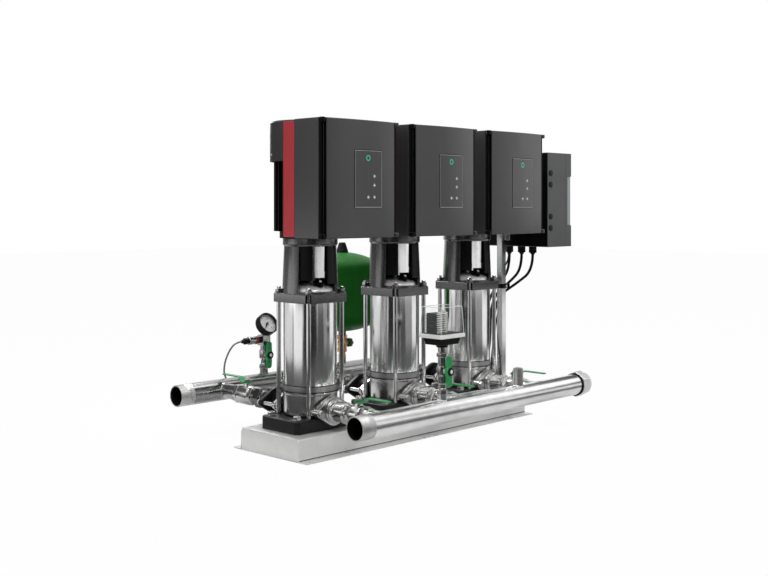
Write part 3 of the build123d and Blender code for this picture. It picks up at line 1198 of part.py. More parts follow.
def cable_glands():
    """Glands with a tapered clamping nut and the bore that the cable passes."""
    pieces = []
    for index, (x, y) in enumerate(gland_places()):
        scale = 1 if index < 3 else 0.6
        cable_r = POWER_CABLE_R if index < 3 else SIGNAL_CABLE_R
        outer = turned([(0, 0), (5 * scale + 1, 0), (GLAND_R * scale, 14), (GLAND_R * scale, GLAND_HEIGHT),
                        (8.9 * scale, GLAND_HEIGHT), (8.9 * scale, GLAND_HEIGHT + 6), (0, GLAND_HEIGHT + 6)],
                       (x, y, CABINET_BOTTOM - GLAND_HEIGHT))
        pieces.append(outer - bar((x, y, CABINET_BOTTOM - GLAND_HEIGHT - 1),
                                  (x, y, CABINET_BOTTOM - GLAND_HEIGHT + 6), cable_r + 0.1))
    return pieces


def cabinet_plugs():
    """Blind plugs pressed into the cabinet's side."""
    return [turned([(0, -3), (PLUG_R, -3), (PLUG_R, 0), (PLUG_R - 2.2, 0), (PLUG_R - 2.2, 5), (0, 5)],
                   (x, CABINET_FRONT, z), (0, 1, 0)) for x, z in plug_places()]


# Cables and what guides them
def grommet_places():
    """Cable entries in the frame: centre on the outer face, outward direction and bore radius."""
    x = FRAME_LENGTH / 2 - FRAME_END_MARGIN + FOOT_GAP + GROMMET_R
    top = [((x, y, FRAME_HEIGHT), (0, 0, 1), POWER_CABLE_R) for y in (8, 27, 46)]
    top.append(((x, -14, FRAME_HEIGHT), (0, 0, 1), SIGNAL_CABLE_R))
    rear = [((FRAME_LENGTH / 2 - 40, FRAME_WIDTH / 2, 34), (0, 1, 0), SIGNAL_CABLE_R)]
    front = [((160, -FRAME_WIDTH / 2, 34), (0, -1, 0), SIGNAL_CABLE_R)]
    return top + rear + front


def cable_grommets():
    """Rubber grommets seated in the frame's cable holes."""
    pieces = []
    for start, direction, radius in grommet_places():
        rim = radius + GROMMET_R - POWER_CABLE_R
        pieces.append(turned([
            (radius + 0.1, -FRAME_SHEET), (radius + 1.9, -FRAME_SHEET), (radius + 1.9, 0),
            (rim, 0), (rim, 3), (radius + 0.1, 3)], start, direction))
    return pieces


def cable_clamp():
    """Clamp block round the post with an eye for the signal cable."""
    half = POST_SIDE / 2
    low, high = CLAMP_Z, CLAMP_Z + CLAMP_HEIGHT
    clamp = block((POST_X - half - 4, POST_Y - half - 5, low), (POST_X + half + 14, POST_Y + half + 9, high))
    clamp -= block((POST_X - half, POST_Y - half, low - 1), (POST_X + half, POST_Y + half, high + 1))
    x, y = signal_column()
    return clamp - bar((x, y, low - 1), (x, y, high + 1), SIGNAL_CABLE_R + 0.1)


def power_columns():
    """Plan positions of the power cables where they run down behind the post."""
    edge_x, edge_y = POST_X - POST_SIDE / 2, POST_Y + POST_SIDE / 2
    return [(edge_x + 2, edge_y + 13), (edge_x - 6, edge_y + 21), (edge_x - 12, edge_y + 31)]


def signal_column():
    """Plan position of the signal cable where it passes the clamp."""
    return POST_X + POST_SIDE / 2 + 7, POST_Y + POST_SIDE / 2 + 2


def power_cables():
    """Three drive cables: a free sweep from the glands, behind the post and into the frame."""
    pieces = []
    entries = [place[0] for place in grommet_places()[:3]]
    places = zip(gland_places(), power_columns(), entries)
    for index, ((gland_x, gland_y), (x, y), (in_x, in_y, in_z)) in enumerate(places):
        top = CABINET_BOTTOM - GLAND_HEIGHT
        cross = (POST_X + POST_SIDE / 2 + 14, y + 3, CLAMP_Z - 24 + 11 * index)
        drop = 50 - 4 * index
        route = [
            (gland_x, gland_y, top + 4), (gland_x, gland_y, top - drop),
            (0.55 * gland_x + 0.45 * cross[0], 0.5 * (gland_y + cross[1]), top - drop - 42),
            cross, (x, y, cross[2] - 52), (x, y, 210),
            (in_x, in_y, 130), (in_x, in_y, in_z - 20),
        ]
        pieces.append(cable("power cable", route, POWER_CABLE_R))
    return pieces


def signal_cable():
    """Thin cable beside the post, from the fourth gland through the clamp and into the frame."""
    gland_x, gland_y = gland_places()[3]
    x, y = signal_column()
    in_x, in_y, in_z = grommet_places()[3][0]
    top = CABINET_BOTTOM - GLAND_HEIGHT
    behind = POST_Y + POST_SIDE / 2 + 5
    return cable("signal cable", [
        (gland_x, gland_y, top + 4), (gland_x, gland_y, top - 20), (x, y, top - 52),
        (x, y, CLAMP_Z - 26), (POST_X + 4, behind, CLAMP_Z - 66), (POST_X - 12, behind, 250),
        (in_x, behind - 3, 185), (in_x, in_y, 120), (in_x, in_y, in_z - 20)], SIGNAL_CABLE_R)


def sensor_cable():
    """Transmitter cable: out of its connector, down behind the manifold and into the frame."""
    start_x = GAUGE_X - GAUGE_BLOCK / 2 - TRANSMITTER_LENGTH
    z = SOCKET_TOP + GAUGE_BRANCH_HEIGHT - 14
    behind = SUCTION_Y + PIPE_R + SIGNAL_CABLE_R + 1
    in_x, in_y, in_z = grommet_places()[4][0]
    return cable("sensor cable", [
        (start_x, SUCTION_Y, z), (start_x - 22, SUCTION_Y, z), (start_x - 42, SUCTION_Y + 6, z - 24),
        (start_x - 46, SUCTION_Y + 22, z - 62), (start_x - 38, behind, z - 100),
        (start_x - 6, behind + 1, PORT_Z), (start_x + 60, behind, PORT_Z - 2),
        (in_x - 70, behind, PORT_Z - 3), (in_x - 12, behind - 2, PORT_Z - 30),
        (in_x, behind - 50, PORT_Z - 62), (in_x, in_y + 110, in_z), (in_x, in_y - 20, in_z)],
        SIGNAL_CABLE_R)


def switch_cable():
    """Switch cable: down beside the cock, along the discharge manifold and into the frame."""
    low = SOCKET_TOP + SWITCH_BRANCH_HEIGHT
    start = (SWITCH_X + 26, DISCHARGE_Y + 10, low + 8)
    run_y = DISCHARGE_Y + 0.8 * PIPE_R
    run_z = PORT_Z + PIPE_R - 2
    in_x, in_y, in_z = grommet_places()[5][0]
    return cable("switch cable", [
        start, (start[0] + 2, start[1] - 1, low - 40), (start[0], start[1] + 1, PIPE_TOP + 34),
        (start[0] + 5, run_y - 6, PIPE_TOP + 9), (start[0] + 26, run_y, run_z),
        (in_x - 60, run_y, run_z), (in_x - 26, run_y + 12, run_z - 22),
        (in_x - 6, run_y + 62, run_z - 66), (in_x, in_y - 50, in_z), (in_x, in_y + 20, in_z)],
        SIGNAL_CABLE_R)


# Write every node
save("base_frame", base_frame())
save("pump_feet", at_each_pump(pump_foot))
save("pump_casings", at_each_pump(pump_casing))
save("outer_sleeves", at_each_pump(outer_sleeve))
save("chamber_stacks", at_each_pump(chamber_stack))
save("tie_rods", at_each_pump(tie_rods))
save("motor_stools", at_each_pump(motor_stool))
save("head_covers", at_each_pump(head_cover))
save("vent_plugs", at_each_pump(vent_plug))
save("coupling_guards", at_each_pump(lambda: [coupling_guard(-1), coupling_guard(1)]))
save("motor_housings", at_each_pump(motor_housing))
save("fan_covers", at_each_pump(fan_cover))
save("drive_bases", at_each_pump(drive_base))
save("drive_boards", at_each_pump(drive_board))
save("drive_panels", at_each_pump(lambda: panel_space(0)))
save("check_valves", at_each_pump(check_valve))
save("suction_flanges", at_each_pump(suction_flange))
save("pipe_unions", at_each_pump(pipe_union))
save("drive_covers", at_each_pump(drive_cover))
save("flange_and_foot_bolts", at_each_pump(lambda: flange_bolts() + foot_bolts()))

discharge_body = Pos(0, DISCHARGE_STEM_Y, PORT_Z) * ball_valve(DISCHARGE_VALVE_LENGTH)
suction_body = Pos(0, SUCTION_STEM_Y, PORT_Z) * ball_valve(SUCTION_VALVE_LENGTH)
save("ball_valves", at_each_pump(lambda: [discharge_body, suction_body]))

rotor = pump_rotor()
poppet = check_poppet()
discharge_lever = [Pos(0, DISCHARGE_STEM_Y, PORT_Z) * piece for piece in valve_lever(-1)]
suction_lever = [Pos(0, SUCTION_STEM_Y, PORT_Z) * piece for piece in valve_lever(1)]
for number, x in enumerate(pump_x, start=1):
    save(f"pump_rotor_{number}", Pos(x, 0, 0) * rotor)
    save(f"check_poppet_{number}", Pos(x, 0, 0) * poppet)
    save(f"discharge_lever_{number}", [Pos(x, 0, 0) * piece for piece in discharge_lever])
    save(f"suction_lever_{number}", [Pos(x, 0, 0) * piece for piece in suction_lever])

suction_sockets = [(GAUGE_X, BRANCH_R + 1, SOCKET_HEIGHT), (TANK_X, BRANCH_R + 1, SOCKET_HEIGHT)]
discharge_sockets = [(SWITCH_X, BRANCH_R + 1, SOCKET_HEIGHT), (BLIND_SOCKET_X, BLIND_SOCKET_R, BLIND_SOCKET_TOP)]
save("suction_manifold", manifold(SUCTION_Y, SUCTION_OPEN_END, SUCTION_CLOSED_END,
                                  SUCTION_NECK_LENGTH, -1, suction_sockets))
save("discharge_manifold", manifold(DISCHARGE_Y, DISCHARGE_OPEN_END, DISCHARGE_CLOSED_END,
                                    DISCHARGE_NECK_LENGTH, 1, discharge_sockets))
save("manifold_caps", manifold_cap(SUCTION_Y, SUCTION_CLOSED_END),
     manifold_cap(DISCHARGE_Y, DISCHARGE_CLOSED_END))

save("branch_cocks", branch_cock(GAUGE_X, SUCTION_Y, GAUGE_BRANCH_HEIGHT, 58, True),
     branch_cock(SWITCH_X, DISCHARGE_Y, SWITCH_BRANCH_HEIGHT, SWITCH_HANDLE_DROP, False))
save("gauge_cock_handle", cock_handle(GAUGE_X, SUCTION_Y, SOCKET_TOP + GAUGE_BRANCH_HEIGHT - 58))
save("switch_cock_handle",
     cock_handle(SWITCH_X, DISCHARGE_Y, SOCKET_TOP + SWITCH_BRANCH_HEIGHT - SWITCH_HANDLE_DROP))
save("pressure_gauge", pressure_gauge())
save("gauge_dial", gauge_dial())
save("gauge_glass", gauge_glass())
save("gauge_needle", gauge_needle())
save("pressure_transmitter", pressure_transmitter())
save("pressure_switch", pressure_switch())
save("switch_rim", switch_rim())
save("switch_works", switch_works())
save("switch_cover", switch_cover())

save("diaphragm_tank", diaphragm_tank())
save("tank_cap", tank_cap())
save("tank_valve", tank_valve())
save("tank_valve_knob", tank_valve_knob())

save("cabinet_post", cabinet_post())
save("cabinet_body", cabinet_body())
save("cabinet_door", cabinet_door())
save("cabinet_latch", cabinet_latch())
save("controller_panel", controller_panel())
save("cabinet_fittings", cable_glands(), cabinet_plugs(), cable_clamp(), cable_grommets())
save("power_cables", power_cables(), signal_cable(), switch_cable())
save("sensor_cable", sensor_cable())
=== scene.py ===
"""Booster pump set, dressed for rendering.

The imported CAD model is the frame. Each class below dresses one sub-assembly: it refines CAD nodes
or builds finer pieces in their place, gives them a finish and lets them ride on a body.

Sizes are millimetres in the row frame, with the origin under the middle of the base frame, +X
along the row of pumps, +Y towards the suction manifold and +Z up. Finished meshes are in metres.
"""

import logging
from dataclasses import dataclass
from enum import Enum
from math import atan2, cos, pi, radians, sin, sqrt
from typing import Iterable, Mapping, Optional, Sequence, Union

import bmesh
import bpy
from mathutils import Matrix, Vector


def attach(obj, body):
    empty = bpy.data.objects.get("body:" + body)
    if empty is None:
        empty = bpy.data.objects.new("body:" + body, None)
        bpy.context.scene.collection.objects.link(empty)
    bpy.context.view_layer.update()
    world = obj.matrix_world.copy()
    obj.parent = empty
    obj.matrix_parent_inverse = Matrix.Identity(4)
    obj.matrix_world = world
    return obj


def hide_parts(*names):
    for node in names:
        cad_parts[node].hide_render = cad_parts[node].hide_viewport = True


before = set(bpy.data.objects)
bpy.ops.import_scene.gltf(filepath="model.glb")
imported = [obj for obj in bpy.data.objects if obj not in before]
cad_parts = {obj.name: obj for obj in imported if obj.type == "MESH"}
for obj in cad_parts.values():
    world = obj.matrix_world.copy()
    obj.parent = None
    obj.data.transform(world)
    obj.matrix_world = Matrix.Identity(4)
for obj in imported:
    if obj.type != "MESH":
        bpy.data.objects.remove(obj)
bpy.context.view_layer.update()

LOG = logging.getLogger("booster")
Point = tuple[float, float, float]
Profile = Sequence[tuple[float, float]]
Colour = tuple[float, float, float, float]

PUMP_X = (-320.0, 0.0, 320.0)
PORT_Z = 107.0
DISCHARGE_Y = -293.15
SUCTION_Y = 381.15
PIPE_R = 30.15
SOCKET_TOP = 151.15
BORE_R = 16.0
NECK_R = 21.0
PORT_FACE = 84.0
COMPANION_END = 141.0
FLANGE = ((0, 0, 37), (-50, 0, 11), (50, 0, 11))
BORED_BALL = ((0.73, -0.67), (0.89, -0.45), (0.98, -0.18), (1, 0), (0.98, 0.18), (0.89, 0.45),
              (0.73, 0.67))
MILLIMETRE = 0.001
FULL_TURN = 2 * pi


def screen_colour(code: str) -> Colour:
    """Linear colour of a screen colour.

    Args:
        code: Hexadecimal red, green and blue, such as "c0c0c0".

    Returns:
        Linear red, green and blue with full alpha.
    """
    parts = [int(code[i:i + 2], 16) / 255 for i in (0, 2, 4)]
    linear = [part / 12.92 if part <= 0.04045 else ((part + 0.055) / 1.055) ** 2.4
              for part in parts]
    return (linear[0], linear[1], linear[2], 1.0)


class Value:
    """A number that varies over a surface; Python's operators add its Math nodes."""

    def __init__(self, recipe: "Recipe", socket: bpy.types.NodeSocket) -> None:
        """Wrap one output socket."""
        self.recipe = recipe
        self.socket = socket

    def _math(self, operation: str, first: "Number", second: "Number") -> "Value":
        """Add one Math node."""
        made = self.recipe.node("ShaderNodeMath", {"operation": operation}, {0: first, 1: second})
        return Value(self.recipe, made.outputs[0])

    def __add__(self, other: "Number") -> "Value":
        """Sum."""
        return self._math("ADD", self, other)

    def __radd__(self, other: "Number") -> "Value":
        """Sum from the left."""
        return self._math("ADD", other, self)

    def __sub__(self, other: "Number") -> "Value":
        """Difference."""
        return self._math("SUBTRACT", self, other)

    def __rsub__(self, other: "Number") -> "Value":
        """Difference from the left."""
        return self._math("SUBTRACT", other, self)

    def __mul__(self, other: "Number") -> "Value":
        """Product."""
        return self._math("MULTIPLY", self, other)

    def __rmul__(self, other: "Number") -> "Value":
        """Product from the left."""
        return self._math("MULTIPLY", other, self)

    def step(self, low: float, high: float) -> "Value":
        """Smooth step from 0 at low to 1 at high."""
        made = self.recipe.node("ShaderNodeMapRange", {"interpolation_type": "SMOOTHSTEP"},
                                {"Value": self, "From Min": low, "From Max": high})
        return Value(self.recipe, made.outputs[0])


Number = Union[Value, float]


class Recipe:
    """The node tree of one procedural material."""

    def __init__(self, name: str) -> None:
        """Start an empty material."""
        self.material = bpy.data.materials.new(f"{name}_look")
        self.material.use_nodes = True
        self.tree = self.material.node_tree
        self.tree.nodes.clear()

    def node(self, kind: str, settings: Optional[Mapping[str, object]] = None,
             inputs: Optional[Mapping[Union[str, int], object]] = None) -> bpy.types.Node:
        """Add one node.

        Args:
            kind: Blender's type of node.
            settings: Properties, which are set first.
            inputs: Values or links of its sockets, by name or place.

        Returns:
            The new node.
        """
        made = self.tree.nodes.new(kind)
        for key, setting in (settings or {}).items():
            setattr(made, key, setting)
        for key, given in (inputs or {}).items():
            socket = given.socket if isinstance(given, Value) else given
            if isinstance(socket, bpy.types.NodeSocket):
                self.tree.links.new(socket, made.inputs[key])
            else:
                made.inputs[key].default_value = socket
        return made

    def place(self, stretch: Point = (1, 1, 1), centre: Point = (0, 0, 0)) -> bpy.types.NodeSocket:
        """Object coordinates in metres, stretched about a centre."""
        where = self.node("ShaderNodeTexCoord")
        made = self.node("ShaderNodeMapping", {"vector_type": "TEXTURE"}, {
            "Vector": where.outputs["Object"], "Location": centre,
            "Scale": tuple(1 / s for s in stretch)})
        return made.outputs[0]

    def noise(self, scale: float, detail: float, place: bpy.types.NodeSocket) -> Value:
        """Cloudy noise about a half."""
        made = self.node("ShaderNodeTexNoise", None,
                         {"Vector": place, "Scale": scale, "Detail": detail})
        return Value(self, made.outputs[0])

    def cells(self, scale: float, place: bpy.types.NodeSocket) -> Value:
        """One random number for each cell of a crystal pattern."""
        made = self.node("ShaderNodeTexVoronoi", None, {"Vector": place, "Scale": scale})
        number = self.node("ShaderNodeSeparateColor", None, {0: made.outputs["Color"]})
        return Value(self, number.outputs[0])

    def along(self, axis: int) -> Value:
        """Object coordinate along X, Y or Z in metres."""
        made = self.node("ShaderNodeSeparateXYZ", None, {0: self.place()})
        return Value(self, made.outputs[axis])

    def blend(self, factor: Value, low: Colour, high: Colour) -> bpy.types.NodeSocket:
        """Colour between two others."""
        made = self.node("ShaderNodeMix", {"data_type": "RGBA"}, {0: factor, 6: low, 7: high})
        return made.outputs[2]

    def bump(self, height: Value, depth: float) -> bpy.types.NodeSocket:
        """Normal of a relief with its depth in metres."""
        made = self.node("ShaderNodeBump", None,
                         {"Height": height, "Distance": depth, "Strength": 1.0})
        return made.outputs[0]

    def close(self, kind: str, inputs: Mapping[Union[str, int], object]) -> bpy.types.Material:
        """Close the material with a shader of one type."""
        shader = self.node(kind, None, inputs)
        self.node("ShaderNodeOutputMaterial", None, {"Surface": shader.outputs[0]})
        return self.material

    def surface(self, inputs: Mapping[Union[str, int], object]) -> bpy.types.Material:
        """Close the material with its surface shader."""
        return self.close("ShaderNodeBsdfPrincipled", inputs)


class Grain(Enum):
    """Direction in which a metal was worked, as a stretch of its pattern."""

    EVEN = (1.0, 1.0, 1.0)
    ROUND_Z = (1.0, 1.0, 14.0)
    ALONG_X = (0.06, 1.0, 1.0)
    ALONG_Z = (1.0, 1.0, 0.05)


@dataclass(frozen=True)
class Finish:
    """A surface that is described by its tint and its gloss."""

    name: str
    tint: str
    roughness: float = 0.4

    def colours(self, darker: float) -> tuple[Colour, Colour]:
        """The tint, and a darker shade of it."""
        full = screen_colour(self.tint)
        return full, (full[0] * darker, full[1] * darker, full[2] * darker, 1.0)

    def make(self) -> bpy.types.Material:
        """Build the material."""
        raise NotImplementedError

    def material(self) -> bpy.types.Material:
        """The material, built when it is first asked for."""
        return bpy.data.materials.get(f"{self.name}_look") or self.make()


@dataclass(frozen=True)
class Metal(Finish):
    """Bare metal with drawing or polishing marks and faint stains."""

    grain: Grain = Grain.EVEN
    marks: float = 220.0
    mark_depth: float = 0.00001
    spread: float = 0.10
    shade: float = 0.86

    def make(self) -> bpy.types.Material:
        """Build the metal."""
        recipe = Recipe(self.name)
        cloud = recipe.noise(26, 4, recipe.place())
        mark = recipe.noise(self.marks, 3, recipe.place(self.grain.value))
        full, darker = self.colours(self.shade)
        stain = cloud.step(0.35, 0.7) * 0.6 + mark.step(0.4, 0.75) * 0.4
        return recipe.surface({
            "Base Color": recipe.blend(stain, full, darker), "Metallic": 1.0,
            "Roughness": self.roughness + (cloud - 0.5) * self.spread + (mark - 0.5) * self.spread,
            "Normal": recipe.bump(mark, self.mark_depth)})


@dataclass(frozen=True)
class Spangle(Finish):
    """Hot-dip zinc with its crystals."""

    def make(self) -> bpy.types.Material:
        """Build the zinc."""
        recipe = Recipe(self.name)
        crystal = recipe.cells(62, recipe.place())
        small = recipe.cells(150, recipe.place())
        cloud = recipe.noise(9, 4, recipe.place())
        full, darker = self.colours(0.92)
        mix = crystal * 0.45 + small * 0.2 + cloud.step(0.3, 0.7) * 0.35
        return recipe.surface({
            "Base Color": recipe.blend(mix, full, darker), "Metallic": 0.4,
            "Roughness": self.roughness + (crystal - 0.5) * 0.12 + (cloud - 0.5) * 0.15,
            "Normal": recipe.bump(crystal * 0.5 + cloud, 0.00004)})


@dataclass(frozen=True)
class Coat(Finish):
    """Paint, powder coat, plastic or rubber with its own fine relief."""

    relief: float = 700.0
    relief_depth: float = 0.00004
    spread: float = 0.12
    gloss_coat: float = 0.0
    shade: float = 0.80
    mirror: float = 0.5

    def make(self) -> bpy.types.Material:
        """Build the coat."""
        recipe = Recipe(self.name)
        cloud = recipe.noise(17, 4, recipe.place())
        skin = recipe.noise(self.relief, 2, recipe.place())
        full, darker = self.colours(self.shade)
        return recipe.surface({
            "Base Color": recipe.blend(cloud.step(0.3, 0.72) * 0.7 + skin * 0.3, full, darker),
            "Roughness": self.roughness + (cloud - 0.5) * self.spread + (skin - 0.5) * 0.1,
            "Normal": recipe.bump(skin, self.relief_depth), "Coat Weight": self.gloss_coat,
            "Coat Roughness": 0.12, "Specular IOR Level": self.mirror})


@dataclass(frozen=True)
class Casting(Finish):
    """Painted cast iron: sand texture under satin paint."""

    mirror: float = 0.5

    def make(self) -> bpy.types.Material:
        """Build the casting."""
        recipe = Recipe(self.name)
        sand = recipe.noise(420, 4, recipe.place())
        lumps = recipe.noise(60, 3, recipe.place())
        full, darker = self.colours(0.7)
        return recipe.surface({
            "Base Color": recipe.blend(sand.step(0.35, 0.65), full, darker),
            "Roughness": self.roughness + (sand - 0.5) * 0.25 + (lumps - 0.5) * 0.15,
            "Specular IOR Level": self.mirror,
            "Normal": recipe.bump(sand * 0.6 + lumps, 0.00016)})


@dataclass(frozen=True)
class Clear(Finish):
    """Thin clear plastic or glass with faint wipe marks, too thin to bend the view."""

    density: float = 0.10

    def make(self) -> bpy.types.Material:
        """Build the clear sheet."""
        recipe = Recipe(self.name)
        wipe = recipe.noise(35, 3, recipe.place((1.0, 1.0, 0.3)))
        return recipe.surface({
            "Base Color": screen_colour(self.tint), "IOR": 1.4, "Metallic": 0.0,
            "Alpha": self.density + wipe.step(0.5, 0.8) * 0.02,
            "Roughness": self.roughness + wipe.step(0.5, 0.8) * 0.05})


@dataclass(frozen=True)
class Glow(Finish):
    """Lit indicator."""

    strength: float = 1.0

    def make(self) -> bpy.types.Material:
        """Build the lit lens."""
        recipe = Recipe(self.name)
        haze = recipe.noise(900, 2, recipe.place())
        full, darker = self.colours(0.7)
        return recipe.surface({
            "Base Color": recipe.blend(haze, full, darker), "Roughness": self.roughness,
            "Emission Color": recipe.blend(haze, full, darker), "Emission Strength": self.strength})


GALVANISED = Spangle("galvanised_sheet", "e6e6e5", 0.34)
CASTING = Casting("black_casting", "1d1d1e", 0.38, 0.25)
HEAD_PAINT = Coat("stool_paint", "242425", 0.26, 300.0, 0.000006, 0.06, 0.6, 0.88, 1.0)
SLEEVE = Metal("polished_sleeve", "f4f4f4", 0.13, Grain.ALONG_Z, 90.0, 0.000008, 0.05, 0.93)
DOME = Spangle("satin_dome", "fafafa", 0.30)
ROD = Metal("bright_rod", "e4e4e4", 0.12, Grain.ALONG_Z, 160.0, 0.00001, 0.06)
PIPE = Metal("drawn_pipe", "f2f2f2", 0.25, Grain.ALONG_X, 150.0, 0.00001, 0.06)
FITTING = Metal("stainless_casting", "c6c6c5", 0.17, Grain.EVEN, 520.0, 0.00003, 0.08, 0.84)
UNION = Metal("dark_stainless", "7c7c7b", 0.16, Grain.EVEN, 520.0, 0.00003, 0.08, 0.80)
THREAD = Metal("turned_thread", "cfcfce", 0.46, Grain.EVEN, 420.0, 0.00005)
# Same plating as the bolts, tinted darker because the nuts stand in the dark corners under the
# stool flange: painted shade.
NUT = Metal("plated_nut_painted_shade", "8e8e8d", 0.20, Grain.EVEN, 300.0, 0.00003)
PLUG = Metal("plug_steel", "7c7d7e", 0.30, Grain.EVEN, 300.0, 0.00004)
# The same drawn pipe as PIPE, tinted darker for the suction manifold behind the pumps: painted
# shade.
PIPE_PAINTED_SHADE = Metal("drawn_pipe_painted_shade", "a2a2a2", 0.20, Grain.ALONG_X, 150.0, 0.00002)
CAP = Spangle("cap_zinc", "ececeb", 0.42)
ZINC = Metal("plated_bolt", "d6d6d4", 0.22, Grain.EVEN, 300.0, 0.00003, 0.12)
BORE = Metal("bore_shadow", "2c2c2c", 0.62, Grain.EVEN, 200.0, 0.00003)
STEEL = Metal("machined_steel", "b9bbbd", 0.28, Grain.ROUND_Z, 300.0, 0.00003)
STACK = Metal("pressed_stainless", "c4c6c8", 0.24, Grain.ROUND_Z, 200.0, 0.00002)
BAND = Metal("rolled_band", "a6a6a6", 0.30, Grain.ROUND_Z, 120.0, 0.00001, 0.06)
GUARD = Metal("guard_steel", "f2f2f2", 0.16, Grain.ALONG_Z, 160.0, 0.00001, 0.06)
POST = Metal("drawn_post", "ececec", 0.20, Grain.ALONG_Z, 120.0, 0.00002)
BRASS = Metal("warm_brass", "d8a878", 0.27, Grain.EVEN, 300.0, 0.00004, 0.12)
# Black motor paint; it also colours the pieces that are painted shade inside the stool windows.
MOTOR = Coat("motor_paint_and_painted_shade", "0d0d0e", 0.42, 500.0, 0.00008, mirror=0.2)
FAN_COVER = Coat("fan_cover_plastic", "343435", 0.46, 800.0, 0.00006, mirror=0.35)
DRIVE_RED = Coat("red_drive_paint", "b5313a", 0.38, 650.0, 0.00005, 0.10, 0.1, 0.88, 0.3)
DRIVE = Coat("graphite_drive", "303031", 0.34, 850.0, 0.00004, 0.08, 0.0, 0.9, 0.75)
# Black plastic of the drive corners and vent caps; also the thin plate that is painted shade on the
# cabinet's -X face.
GROOVE = Coat("black_plastic_and_painted_shade", "060606", 0.36, 600.0, 0.00004, mirror=0.1)
PANEL = Coat("panel_film", "2e2e2f", 0.30, 1200.0, 0.00001, 0.06, 0.0, 0.92, 0.75)
PANEL_LINE = Coat("panel_outline", "b4b6b6", 0.4, 900.0, 0.00001)
PANEL_MARK = Coat("key_print", "cfd1d2", 0.4, 900.0, 0.00001)
GREEN_LIGHT = Glow("green_indicator", "2fae86", 0.3, 0.45)
DIM_LIGHT = Coat("dim_indicator", "5a5d5e", 0.35, 900.0, 0.00001)
BOARD = Coat("board_lacquer", "1f5a34", 0.35, 300.0, 0.00008)
GREEN = Coat("green_vinyl", "12944c", 0.36, 500.0, 0.00005, 0.10, 0.15)
DEEP_GREEN = Coat("dark_green_plastic", "0b5a2c", 0.38, 500.0, 0.00005)
TANK = Coat("tank_enamel", "105a16", 0.45, 60.0, 0.00006, 0.08, 0.0, 0.9, 0.12)
BLACK = Coat("black_plastic", "0d0d0e", 0.42, 500.0, 0.00006, mirror=0.2)
# Black rubber for seals and cables; also the black strips that are painted shade along the frame's
# folds.
RUBBER = Coat("black_rubber_and_painted_shade", "090909", 0.50, 900.0, 0.00003, mirror=0.2)
GREY_CABLE = Coat("grey_cable", "77797b", 0.45, 900.0, 0.00003)
PALE_CABLE = Coat("pale_cable", "b8babb", 0.45, 900.0, 0.00003)
RED_RING = Coat("red_ring", "7c1d20", 0.34, 500.0, 0.00003, 0.10, 0.3)
# White plastic; also the white hexagons that are painted highlights on the vent caps.
WHITE = Coat("white_plastic", "e6e6e3", 0.42, 600.0, 0.00003, 0.08, 0.0, 0.94)
DIAL = Coat("dial_enamel", "ffffff", 0.5, 700.0, 0.00001, 0.05, 0.0, 0.96)
WORKS = Coat("works_grey", "3c3e40", 0.45, 500.0, 0.00005, mirror=0.25)
CABINET = Coat("cabinet_powder", "585959", 0.46, 620.0, 0.00007, 0.10, 0.0, 0.9, 0.2)
CABINET_BLACK = Coat("cabinet_plastic", "0e0e0f", 0.36, 620.0, 0.00006, mirror=0.3)
DISPLAY = Coat("display_film", "a9c4d6", 0.22, 1200.0, 0.00001, 0.05, 0.3, 0.92)
DISPLAY_SIDE = Coat("display_side_film", "8b9697", 0.34, 1200.0, 0.00001, 0.05, 0.0, 0.92)
CLEAR = Clear("clear_cover", "9aa0a0", 0.04, 0.03)
GLASS = Clear("gauge_glass", "ffffff", 0.02, 0.01)
# Pale rods on the clear cover's edges: painted highlights.
COVER_EDGE_HIGHLIGHT = Coat("clear_edge_highlight", "e4e8e8", 0.25, 300.0, 0.00001)


def round_edges(mesh: bmesh.types.BMesh, width: float, limit: float, segments: int,
                clamped: bool) -> None:
    """Round the sharp edges of a shape.

    Args:
        mesh: The shape.
        width: Width of the rounding.
        limit: Edges sharper than this angle in degrees are rounded.
        segments: Faces across a rounding.
        clamped: Whether a rounding stops where it would meet another.
    """
    sharp = [edge for edge in mesh.edges
             if len(edge.link_faces) == 2 and edge.calc_face_angle(0) > radians(limit)]
    bmesh.ops.bevel(mesh, geom=sharp, offset=width, offset_type="OFFSET", segments=segments,
                    profile=0.5, affect="EDGES", clamp_overlap=clamped, material=-1)


def settle(mesh: bmesh.types.BMesh, soften: float = 0.0, limit: float = 30.0,
           segments: int = 2) -> bmesh.types.BMesh:
    """Merge doubles, turn faces outwards and round the sharp edges.

    Args:
        mesh: The shape.
        soften: Width of the rounding.
        limit: Edges sharper than this angle in degrees are rounded.
        segments: Faces across a rounding.

    Returns:
        The same shape.
    """
    bmesh.ops.remove_doubles(mesh, verts=mesh.verts, dist=1e-4)
    bmesh.ops.recalc_face_normals(mesh, faces=mesh.faces)
    if soften:
        round_edges(mesh, soften, limit, segments, True)
    return mesh


def turned(profile: Profile, soften: float = 0.0, steps: int = 96, ring: bool = False,
           angle: float = FULL_TURN) -> bmesh.types.BMesh:
    """Shape turned about Z.

    Args:
        profile: Radius and height of each corner.
        soften: Width of its roundings.
        steps: Faces round it.
        ring: Whether the profile closes on itself off the axis.
        angle: How far it is turned.

    Returns:
        The shape.
    """
    mesh = bmesh.new()
    verts = [mesh.verts.new((radius, 0.0, height)) for radius, height in profile]
    edges = [mesh.edges.new(pair) for pair in zip(verts, verts[1:])]
    if ring:
        edges.append(mesh.edges.new((verts[-1], verts[0])))
    bmesh.ops.spin(mesh, geom=[*verts, *edges], cent=(0, 0, 0), axis=(0, 0, 1), dvec=(0, 0, 0),
                   angle=angle, steps=steps, use_merge=angle >= FULL_TURN, use_duplicate=False)
    return settle(mesh, soften)


